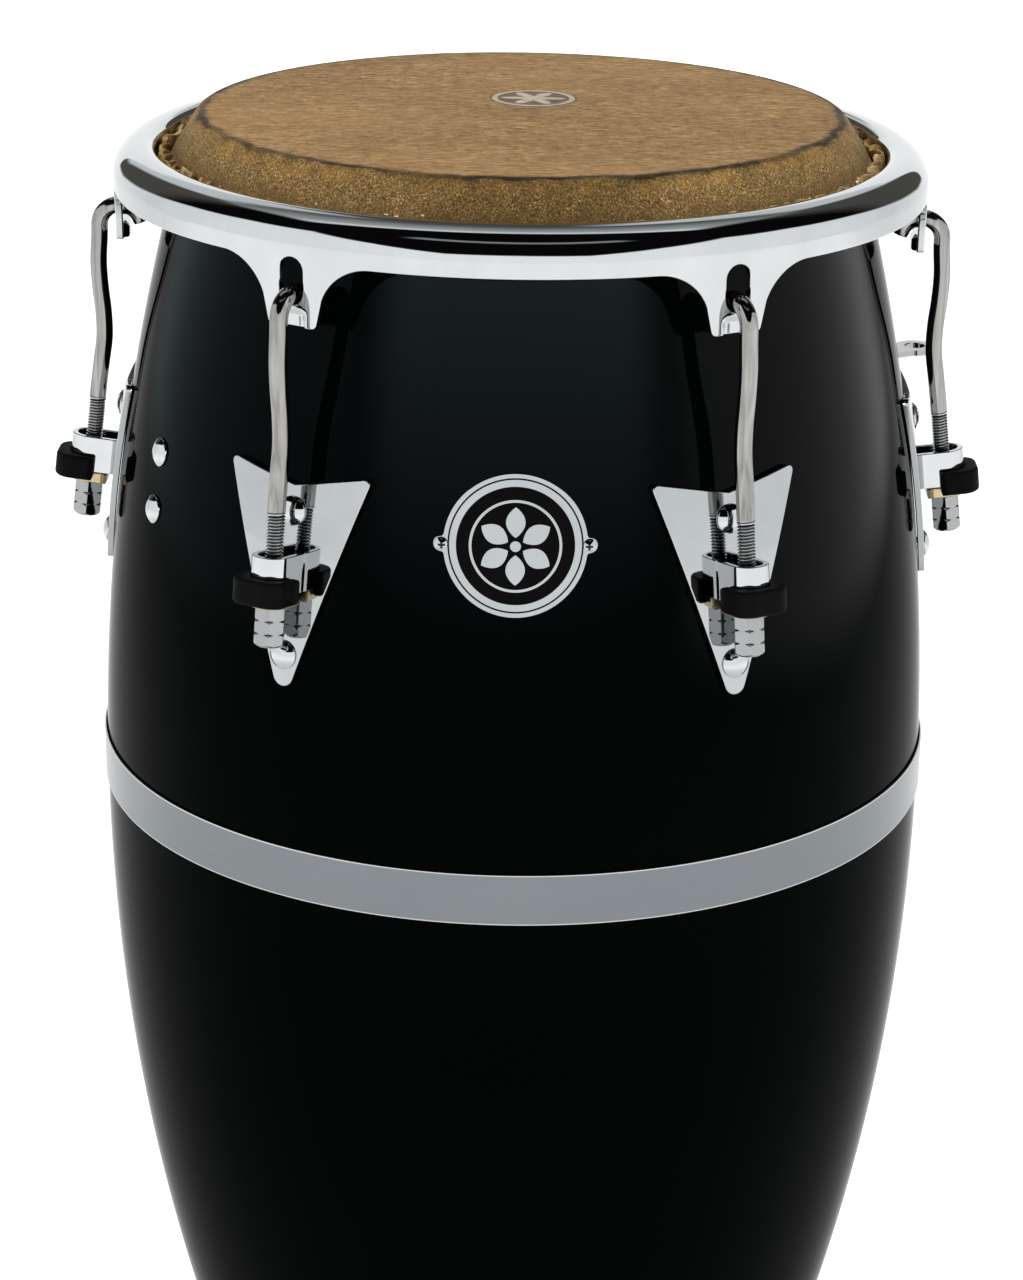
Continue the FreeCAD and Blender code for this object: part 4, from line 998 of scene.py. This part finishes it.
def hook_line():
    """The hook's centre line as (distance from the axis, height), from the tip to the rod's end."""
    angle = math.radians(HOOK_SWEEP)
    centre = Vector(HOOK_BEND_CENTRE)
    way = Vector((-math.sin(angle), math.cos(angle)))
    line = [round_point(centre, HOOK_BEND, angle) + way * 2.0]
    line += [round_point(centre, HOOK_BEND, a) for a in spread(angle, 0.0, 30)[:-1]]
    down = Vector((math.sin(TILT), -math.cos(TILT)))
    nut_top = Vector((THREAD_RADIUS, THREAD_HEIGHT))
    straight = nut_top - down * STRAIGHT_ABOVE_NUT
    leg = smooth_through(HOOK_LEG + [tuple(straight), tuple(straight + down * 4)], HOOK_STEP)
    line += [p for p in leg if p.y > straight.y]
    run = (nut_top + down * ROD_IN_NUT - straight).length
    return line + [straight + down * s for s in spread(0.0, run, round(run / HOOK_STEP))]


def rod_rings(spots, ways, radii, columns, spin, advance=0.0):
    """Rings of points round a line. advance is how far each ring moves along the line in one turn."""
    verts = []
    for here, way, radius in zip(spots, ways, radii):
        side = Vector((way.y, 0, -way.x))
        for k in range(columns):
            around = 2 * math.pi * k / columns
            out = side * math.cos(around) + Vector((0, 1, 0)) * math.sin(around)
            along = way * (advance * k / columns)
            verts.append(spin @ (Vector((here.x + along.x, 0, here.y + along.y)) + out * radius))
    return verts


def make_hook(number, turn, smooth_metal, thread_metal, groove_shade_metal):
    """A hook in two pieces: the smooth rod, and the thread as a spiral surface round a core."""
    line = hook_line()
    columns = 28
    spin = Matrix.Rotation(turn, 3, "Z")
    ways = [(line[min(i + 1, len(line) - 1)] - line[max(i - 1, 0)]).normalized() for i in range(len(line))]
    whole = [(p, w) for p, w in zip(line, ways) if p.y > THREAD_TOP]
    core = [(p, w) for p, w in zip(line, ways) if p.y <= THREAD_TOP + THREAD_PITCH]
    ends = [ROD - 0.9, ROD - 0.35, ROD - 0.08]
    radii = ends + [ROD - 0.02] * (len(whole) - 3)
    spots = [whole[0][0] + whole[0][1] * s for s in (0.0, 0.2, 0.6)] + [p for p, w in whole[3:]]
    verts = rod_rings(spots, [w for p, w in whole], radii, columns, spin)
    faces = grid_faces(len(spots), columns)
    faces += [tuple(range(columns)), tuple(reversed(range(len(verts) - columns, len(verts))))]
    name = f"hook_{number}"
    make_piece(f"hook_rod_{number}", (verts, faces), smooth_metal, name, [name], sharp=60)

    run = 0.0
    distances = [0.0]
    for (a, _), (b, _) in zip(core, core[1:]):
        run += (b - a).length
        distances.append(run)
    turns = int((run - 1.0) / THREAD_PITCH)
    spots, ways, radii = [], [], []
    for i in range(turns):
        for share, cut in THREAD_SECTION:
            at = (i + share) * THREAD_PITCH
            j = max(k for k, d in enumerate(distances) if d <= at)
            way = core[j][1]
            spots.append(core[j][0] + way * (at - distances[j]))
            ways.append(way)
            radii.append(ROD - 0.03 - THREAD_DEPTH * cut * eased(at, 1.4, 2.4))
    verts = rod_rings(spots, ways, radii, columns, spin, THREAD_PITCH)
    per_turn = len(THREAD_SECTION)
    faces = []
    for r in range(len(spots) - 1):
        for c in range(columns):
            if c + 1 < columns:
                near, far = r * columns + c + 1, (r + 1) * columns + c + 1
            else:
                near, far = (r + per_turn) * columns, (r + 1 + per_turn) * columns
            if far < len(verts):
                faces.append((r * columns + c, near, far, (r + 1) * columns + c))
    core_radius = ROD - 0.95
    start = len(verts)
    verts += rod_rings([p for p, w in core], [w for p, w in core], [core_radius] * len(core), columns, spin)
    faces += [tuple(i + start for i in face) for face in grid_faces(len(core), columns)]
    faces.append(tuple(reversed(range(len(verts) - columns, len(verts)))))
    made = make_piece(f"hook_thread_{number}", (verts, faces), thread_metal, name, sharp=50)
    # Painted shade: the rows at the thread's root take a near-black chrome.
    made.data.materials.append(groove_shade_metal)
    ridges = (len(spots) - 1) * columns
    for face in made.data.polygons:
        if face.index < ridges and face.index // columns % per_turn in GROOVE_ROWS:
            face.material_index = 1


def make_nut(number, turn, material):
    """A hexagonal sleeve with two turned grooves, a chamfer below and a rounded edge on top."""
    place = thread_frame(turn)
    top, low = -0.1, -0.1 - NUT_LENGTH
    corner = NUT_FLATS / math.sqrt(3)
    grooves = [top - NUT_LENGTH / 3, top - NUT_LENGTH * 2 / 3]
    heights = [top, top - 0.25]
    for middle in grooves:
        heights += [middle + d for d in (1.2, 0.81, 0.5, 0.235, 0.0, -0.235, -0.5, -0.81, -1.2)]
    heights += [low + 1.7, low + 1.3, low + 0.9, low + 0.5, low + 0.2, low]
    rounding = 0.13
    angles = []
    for side in range(6):
        angles += [math.radians(60 * side - 30 + a) for a in (0, 1.2, 2.6, 8, 14, 20, 26, 32, 38, 44, 50,
                                                            55, 57.4, 58.8)]

    def limit(z):
        reach = corner - 0.12
        for middle in grooves:
            reach = min(reach, NUT_FLATS / 2 - 0.22 + 1.7 * math.sqrt((z - middle) ** 2 + rounding ** 2))
        reach = min(reach, corner - 1.6 + (z - low))
        return min(reach, corner - 0.5 + (top - z) * 2)

    bore = 4.3
    verts = []
    rows = [(False, top)] + [(True, z) for z in heights] + [(False, low), (False, top)]
    for outer, z in rows:
        for a in angles:
            local = (a + math.radians(30)) % math.radians(60) - math.radians(30)
            radius = min(NUT_FLATS / 2 / math.cos(local), limit(z)) if outer else bore
            verts.append(place @ Vector((radius * math.cos(a), radius * math.sin(a), z)))
    name = f"nut_{number}"
    whole = (verts, grid_faces(len(rows), len(angles)))
    make_piece(f"hex_nut_{number}", whole, material, name, [f"tuning_nut_{number}"], sharp=28)


# ---- plates, brackets, seats and bumpers

def nose_corners(half, nose, back, rounding=None):
    """A strip with a round nose, seen along the thread."""
    rounding = half - 0.02 if rounding is None else rounding
    return [(-back, -half, 0), (nose, -half, rounding), (nose, half, rounding), (-back, half, 0)]


def on_thread(turn, middle):
    """Lays a sheet square to the thread, with its middle at a height along it."""
    place = thread_frame(turn)

    def lay(x, y, lift):
        return place @ Vector((x, y, middle + lift))
    return lay


def make_side_plate(number, turn, material):
    corners = [(0.0, 530.6, 5.0), (35.9, 636.9, 2.3), (0.0, 629.6, 0.6), (-35.9, 636.9, 2.3)]
    outline = sampled(track(corners, True), 3.0, 12.0, True)
    place = over_side(turn, PLATE_GAP + PLATE_METAL / 2)
    sheet = sheet_piece([outline], PLATE_METAL, 0.55, place, (3.0, 3.0), (-37, 37, 535, 645))
    make_piece(f"plate_{number}", sheet, material, "drum", [f"side_plate_{number}"])


def nose_ring(outer, inner):
    """The outline between two round-nosed strips."""
    return sampled(track(outer), 4.0, 9.0) + sampled(track(inner), 4.0, 12.0)[::-1]


def make_bracket(number, turn, material):
    back, metal = 12.4, 2.5
    line = nose_ring(nose_corners(STRAP_HALF, STRAP_NOSE, back),
                     nose_corners(STRAP_HALF - metal, STRAP_NOSE - metal, back))
    low, high = 5.35, 22.6
    sheet = sheet_piece([line], high - low, 0.45, on_thread(turn, (low + high) / 2))
    make_piece(f"bracket_{number}", sheet, material, "drum", [f"lug_bracket_{number}"])


def make_seat(number, turn, material):
    line = sampled(track(nose_corners(STRAP_HALF, STRAP_NOSE, 8.6)), 4.0, 9.0)
    hole = circle_line(4.6)
    high = 5.3
    sheet = sheet_piece([line, hole], high, 0.8, on_thread(turn, high / 2))
    make_piece(f"seat_{number}", sheet, material, "drum", [f"seat_washer_{number}"])


def make_bumper(number, turn, material):
    half, nose, back, rounding = 12.7, 16.4, 2.0, 8.0
    fit = 0.05
    line = nose_ring(nose_corners(half, nose, back, rounding),
                     nose_corners(STRAP_HALF + fit, STRAP_NOSE + fit, back))
    low, high = 2.0, 13.4
    sheet = sheet_piece([line], high - low, 1.5, on_thread(turn, (low + high) / 2))
    make_piece(f"rubber_pad_{number}", sheet, material, "drum", [f"bumper_{number}"])


# ---- bolts and badge

def dome(radius, height, flange):
    """The section of a dome head, from its edge to its middle."""
    rise = height - flange
    curve = (radius ** 2 + rise ** 2) / (2 * rise)
    top = [Vector((r, height - curve + math.sqrt(curve ** 2 - r * r))) for r in spread(radius - 0.5, 0, 12)]
    return [Vector((radius - 0.3, 0)), Vector((radius, 0.15)), Vector((radius, flange)),
            Vector((radius - 0.12, flange + 0.22))] + top


def make_bolts(name, node, places, length, material, head=BOLT_HEAD, shank=BOLT_SHANK):
    """Dome-headed bolts. The head lies on each place and the shank reaches down from it."""
    section = [Vector((0, -length)), Vector((shank, -length)), Vector((shank, 0))] + dome(*head)
    bolts = gathered([turned_solid(section, 48, False, place) for place in places])
    make_piece(name, bolts[:2], material, "drum", [node], sharp=35)


def make_badge(metal, enamel):
    """A disc with two ears, an enamel face, a thin line round it, and a rosette of six petals in a ring."""
    def on_badge(base):
        place = over_side(BADGE_TURN, base)
        return lambda x, y, lift: place(x, y + BADGE_HEIGHT, lift)

    def inlay(lines, low, high, edge, facet, reach):
        """A thin sheet between two heights over the badge's metal."""
        place = on_badge(PLATE_GAP + BADGE_METAL + (low + high) / 2)
        return sheet_piece(lines, high - low, edge, place, (facet, facet), (-reach, reach, -reach, reach))

    disc = sheet_piece([badge_outline(BADGE_RADIUS, BADGE_EAR, BADGE_SPAN)], BADGE_METAL, 0.35,
                       on_badge(PLATE_GAP + BADGE_METAL / 2), (3.0, 3.0), (-38, 38, -32, 32))
    make_piece("badge_disc", disc, metal, "drum", ["badge_plate"])
    face = inlay([circle_line(BADGE_FACE, 120)], 0.0, 0.3, 0.1, 3.0, 26)
    make_piece("badge_enamel", face, enamel, "drum", ["badge_face"])
    line = inlay([circle_line(28.6, 120), circle_line(27.9, 120)], -0.04, 0.08, 0.03, 4.0, 29)
    make_piece("badge_line", line, enamel, "drum")
    rosette = [inlay([circle_line(19.6, 96), circle_line(18.4, 96)], 0.3, 0.46, 0.06, 4.0, 20)]
    rosette += [inlay([petal(math.radians(60 * k + 30))], 0.3, 0.5, 0.07, 3.0, 18) for k in range(6)]
    rosette.append(sheet_piece([circle_line(2.3, 32)], 0.2, 0.07, on_badge(PLATE_GAP + BADGE_METAL + 0.4)))
    make_piece("badge_rosette", gathered(rosette), metal, "drum")


def petal(turn):
    """A pointed petal, from near the badge's middle to the ring round the rosette."""
    root, tip, bulge = 3.6, 16.6, 4.1
    points = []
    for side in (1, -1):
        for k in range(14):
            t = k / 14
            share = t if side > 0 else 1 - t
            across = side * bulge * math.sin(math.pi * share) ** 0.8
            along = root + (tip - root) * share
            points.append(Vector((along * math.cos(turn) - across * math.sin(turn),
                                  along * math.sin(turn) + across * math.cos(turn))))
    return points


def badge_outline(reach, ear, span):
    """A disc with a small round ear on either side, met by hollow roundings."""
    blend = 1.2
    along = (reach + blend) ** 2
    across = (ear + blend) ** 2
    x = (along - across + span ** 2) / (2 * span)
    y = math.sqrt(along - x * x)
    from_disc = math.atan2(y, x)
    from_ear = math.atan2(y, x - span)
    arcs = [
        (span, 0, ear, spread(-from_ear, from_ear, 20)),
        (x, y, blend, spread(from_ear + math.pi, from_disc + math.pi, 5)),
        (0, 0, reach, spread(from_disc, math.pi - from_disc, 44)),
        (-x, y, blend, spread(-from_disc, -from_ear, 5)[1:-1]),
    ]
    half = [(cx + r * math.cos(t), cy + r * math.sin(t)) for cx, cy, r, turns in arcs for t in turns]
    return [Vector((px, py)) for px, py in half] + [Vector((-px, -py)) for px, py in half]


BADGE_SCREW_TURN = math.asin(BADGE_SPAN / side_radius(BADGE_HEIGHT))


def screw_material():
    """Chrome with a near-black cross, painted shade where each badge screw's recess would be; the mesh has
    no recess.
    """
    made = chrome_material("screw_chrome", (0.52, 0.54, 0.55), 0.03, 0.08, 0.00002)
    radius = side_radius(BADGE_HEIGHT) * MM
    left, right = (radius * math.cos(BADGE_TURN + turn) for turn in (-BADGE_SCREW_TURN, BADGE_SCREW_TURN))
    x, _, z = axes(made.node_tree)
    x = calc("ABSOLUTE", calc("SUBTRACT", x, (left + right) / 2))
    x = calc("ABSOLUTE", calc("SUBTRACT", x, (right - left) / 2))
    z = calc("ABSOLUTE", calc("SUBTRACT", z, BADGE_HEIGHT * MM))
    # Painted shade: a near-black cross on each screw head stands in for its recess.
    reach = fitted(calc("MAXIMUM", x, z), 0.0015, 0.0017, 1.0, 0.0)
    slot = times(fitted(calc("MINIMUM", x, z), 0.0004, 0.0006, 1.0, 0.0), reach)
    return laid_over(made, slot, (0.02, 0.02, 0.02))


def make_badge_screws(material):
    places = [bolt_frame(BADGE_TURN + turn, BADGE_HEIGHT, PLATE_GAP + BADGE_METAL)
              for turn in (-BADGE_SCREW_TURN, BADGE_SCREW_TURN)]
    make_bolts("cross_screws", "badge_screws", places, 7.0, material, (2.9, 1.45, 0.3), 1.4)


# ---- make the drum

def make_drum():
    gel_coat = gel_coat_material()
    chrome = chrome_material("chrome_plate", (0.60, 0.622, 0.632), 0.012, 0.05, 0.00002)
    plate_chrome = chrome_material("plate_chrome", (0.47, 0.49, 0.50), 0.02, 0.07, 0.00002)
    rod_chrome = rod_material()
    # Painted shade: the nuts and the accessory eye get a darker chrome tint than the rim, standing for
    # dimmer reflections.
    nut_chrome = chrome_material("nut_chrome", (0.36, 0.37, 0.375), 0.04, 0.09, 0.00002)
    # Painted shade: near-black chrome for the thread's root.
    painted_groove_shade = chrome_material("painted_groove_shade", (0.075, 0.073, 0.070), 0.25, 0.35, 0.00001)
    thread_chrome = chrome_material("thread_chrome", (0.50, 0.52, 0.53), 0.16, 0.26, 0.00001)
    rubber = rubber_material("moulded_rubber", (0.0030, 0.0030, 0.0032))
    steel = metal_material("zinc_steel", (0.30, 0.31, 0.32), (0.46, 0.47, 0.47), 0.25, 0.42, 60.0)
    brass = metal_material("cast_brass", (0.42, 0.33, 0.19), (0.62, 0.52, 0.34), 0.20, 0.36, 130.0)
    enamel = enamel_material()
    band_low, band_high = (c.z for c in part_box("belly_band"))
    make_shell(gel_coat, raw_fibre_material())
    make_belly_band(band_material(band_low, band_high))
    make_foot_ring(rubber)
    make_head(skin_material())
    make_rim(chrome)
    for i, turn in enumerate(LUG_TURNS):
        make_hook(i + 1, turn, rod_chrome, thread_chrome, painted_groove_shade)
        make_nut(i + 1, turn, nut_chrome)
        make_side_plate(i + 1, turn, plate_chrome)
        make_bracket(i + 1, turn, chrome)
        make_seat(i + 1, turn, brass)
        make_bumper(i + 1, turn, rubber)
    for name, turns, heights, gap, length in (
            ("plate_bolt", LUG_TURNS, PLATE_BOLTS, ON_PLATE, BOLT_LENGTH),
            ("pair_bolt", [PAIR_TURN], PAIR_BOLTS, PAIR_GAP, PAIR_LENGTH),
            ("eye_bolt", [EYE_TURN], EYE_BOLTS, EYE_METAL + PLATE_GAP * 2, BOLT_LENGTH)):
        places = [bolt_frame(turn, z, gap) for turn in turns for z in heights]
        make_bolts(f"{name}_heads", f"{name}s", places, length, chrome)
    make_badge(plate_chrome, enamel)
    make_badge_screws(screw_material())
    # The accessory eye takes the darker nut chrome, a painted shade.
    for name, material, slot in (("accessory_eye", nut_chrome, "chrome"), ("flesh_hoop", steel, "steel"),
                                 ("shell_washers", steel, "steel"), ("shell_nuts", steel, "steel")):
        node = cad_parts[name]
        node.data.materials.clear()
        node.data.materials.append(material)


# ---- surroundings, lights and camera

def make_world():
    """A white studio with dark flats: what polished surfaces see, and an even soft light for the rest."""
    world = bpy.data.worlds.new("studio")
    bpy.context.scene.world = world
    world.use_nodes = True
    tree = world.node_tree
    tree.nodes.clear()
    way = add(tree, "ShaderNodeTexCoord").outputs["Generated"]
    sideways, behind, up = add(tree, "ShaderNodeSeparateXYZ", {0: way}).outputs
    rise = times(calc("ARCSINE", up), 180 / math.pi)
    turn = times(calc("ARCTAN2", sideways, times(behind, -1.0)), 180 / math.pi)
    aside = calc("ABSOLUTE", turn)
    across = calc("ABSOLUTE", calc("ADD", sideways, 0.05))
    half_turns = calc("DIVIDE", aside, 180.0)
    heights = [
        (0.0, 0.178), (0.11, 0.167), (0.24, 0.32), (0.38, 0.44), (0.50, 0.37), (0.61, 0.25),
        (0.67, 0.16), (0.74, 0.07), (0.81, 0.0), (0.85, 0.0), (0.885, 0.26), (1.0, 0.26),
    ]
    skyline = ramped(half_turns, [(place, (height,) * 3) for place, height in heights])
    over = calc("SUBTRACT", rise, times(skyline, 90.0))
    low = falling(over, -2.0, 2.0)
    paper = ramped(half_turns, [
        (0.0, (1.22, 1.24, 1.25)), (0.50, (1.10, 1.12, 1.13)), (0.68, (0.92, 0.93, 0.94)),
        (0.85, (1.05, 1.06, 1.07)), (1.0, (1.12, 1.12, 1.12)),
    ])
    in_box = times(rising(behind, 0.11, 0.17), falling(across, 0.42, 0.50), rising(rise, 38.0, 46.0))
    box = ramped(behind, [
        (0.18, (0.92, 0.94, 0.95)), (0.30, (0.46, 0.47, 0.48)), (0.46, (0.32, 0.33, 0.33)),
        (0.58, (0.19, 0.20, 0.20)), (0.68, (0.10, 0.10, 0.10)),
    ])
    stripe = times(band_of(rise, 57.0, 63.0, 1.0), falling(aside, 40.0, 50.0))
    dark = blended(rising(behind, 0.35, 0.60), (0.003, 0.003, 0.0035), (0.085, 0.085, 0.075))
    dark = blended(stripe, dark, (0.28, 0.29, 0.29))
    shoulder = times(band_of(across, 0.10, 0.40, 0.03), rising(rise, 8.0, 13.0), rising(behind, 0.20, 0.35))
    dark = blended(shoulder, dark, (0.72, 0.74, 0.75))
    seen = blended(in_box, dark, box)
    seen = blended(low, seen, paper)

    path = add(tree, "ShaderNodeLightPath").outputs
    plain = blended(path["Is Camera Ray"], (0.80,) * 3, (1.4,) * 3)
    colour = blended(path["Is Glossy Ray"], plain, seen)
    light = add(tree, "ShaderNodeBackground", {"Color": colour, "Strength": 1.0})
    add(tree, "ShaderNodeOutputWorld", {"Surface": light.outputs[0]})


def make_floor():
    """A wide pale floor that reads as white paper."""
    work = bmesh.new()
    bmesh.ops.create_grid(work, x_segments=2, y_segments=2, size=6.0)
    mesh = bpy.data.meshes.new("floor")
    work.to_mesh(mesh)
    work.free()
    made, tree, shader = new_material("white_paper", Roughness=0.9)
    tone = fitted(grain(tree, 3.0, 3.0), 0.3, 0.7, 0.80, 0.83)
    colour = add(tree, "ShaderNodeCombineColor", {0: tone, 1: tone, 2: tone}).outputs[0]
    wired(shader, Base_Color=colour, Emission_Color=colour)
    x, y, _ = axes(tree)
    away = calc("SQRT", calc("ADD", times(x, x), times(y, y)))
    shade = times(fitted(away, 0.45, 1.5, 0.22, 1.0, True), fitted(y, 0.3, 1.4, 1.0, 0.6, True))
    mirrored = add(tree, "ShaderNodeLightPath").outputs["Is Glossy Ray"]
    dim = fitted(times(mirrored, calc("SUBTRACT", 1.0, shade)), 0.0, 1.0, 1.0, 0.0)
    wired(shader, Emission_Strength=times(dim, 0.75))
    mesh.materials.append(made)
    floor = bpy.data.objects.new("floor", mesh)
    bpy.context.scene.collection.objects.link(floor)


def area_lamp(name, place, rotation, size, power):
    lamp = bpy.data.lights.new(name, "AREA")
    lamp.shape = "RECTANGLE"
    lamp.size, lamp.size_y = size
    lamp.energy = power
    made = bpy.data.objects.new(name, lamp)
    made.location = place
    made.rotation_euler = rotation
    made.visible_camera = False
    bpy.context.scene.collection.objects.link(made)
    return made


def make_overhead():
    """The lamp above the drum, which polished surfaces do not show."""
    place, target = Vector((0.0, -0.3, 2.6)), Vector((0.0, 0.0, 0.7))
    rotation = (target - place).to_track_quat("-Z", "Y").to_euler()
    area_lamp("overhead", place, rotation, (1.6, 1.6), 22.0).visible_glossy = False


def make_gloss_panel(name, place, facing, size, foot, radiance, tint, receivers):
    """A tall soft panel that only lights its receivers, and brightens from foot to 1 towards its top."""
    made = area_lamp(name, place, (math.pi / 2, 0, facing), size, radiance * math.pi * size[0] * size[1])
    made.light_linking.receiver_collection = receivers
    made.data.use_nodes = True
    tree = made.data.node_tree
    tree.nodes.clear()
    spot = add(tree, "ShaderNodeNewGeometry").outputs["Parametric"]
    across, up, _ = add(tree, "ShaderNodeSeparateXYZ", {0: spot}).outputs
    glow = calc("POWER", fitted(up, 0.0, 1.0, foot, 1.0), 1.5)
    middle = calc("ABSOLUTE", calc("SUBTRACT", across, 0.5))
    glow = times(glow, falling(middle, 0.25, 0.5), rising(up, 0.0, 0.15))
    shine = add(tree, "ShaderNodeEmission", {"Color": (*tint, 1.0), "Strength": glow})
    add(tree, "ShaderNodeOutputLight", {"Surface": shine.outputs[0]})


def make_gloss_panels():
    """What the gel coat mirrors: a wide panel in front and one on either side."""
    glossy_black = bpy.data.collections.new("glossy_black")
    glossy_black.objects.link(bpy.data.objects["shell_moulding"])
    cool, neutral = (0.72, 0.98, 1.08), (1.0, 0.98, 0.98)
    for name, place, facing, size, foot, radiance, tint in (
            ("panel_front", (0.0, -3.4, 1.10), 0.0, (7.6, 2.1), 0.0, 30.0, cool),
            ("panel_left", (-2.2, 0.0, 0.85), -math.pi / 2, (5.4, 1.6), 0.3, 6.5, cool),
            ("panel_right", (1.8, 0.0, 0.78), math.pi / 2, (4.4, 1.4), 0.7, 9.0, neutral)):
        make_gloss_panel(name, place, facing, size, foot, radiance, tint, glossy_black)


def make_camera():
    """The camera, placed in metres from the axis and above the floor, with its angles in radians."""
    distance, height, turn = 1.49645, 1.05497, 0.0125
    down, roll, heading = 0.3541, 0.014, 0.0134
    data = bpy.data.cameras.new("camera")
    data.sensor_width = 36.0
    data.lens = 92.12
    data.clip_start, data.clip_end = 0.05, 100.0
    made = bpy.data.objects.new("camera", data)
    spot = Vector((distance * math.sin(turn), -distance * math.cos(turn), height))
    made.matrix_world = (Matrix.Translation(spot) @ Matrix.Rotation(heading, 4, "Z")
                         @ Matrix.Rotation(math.pi / 2 - down, 4, "X") @ Matrix.Rotation(roll, 4, "Z"))
    bpy.context.scene.collection.objects.link(made)
    bpy.context.scene.camera = made


def main():
    make_drum()
    make_world()
    make_floor()
    make_overhead()
    make_gloss_panels()
    make_camera()
    scene = bpy.context.scene
    scene.view_settings.view_transform = "Standard"
    scene.cycles.use_denoising = True


main()
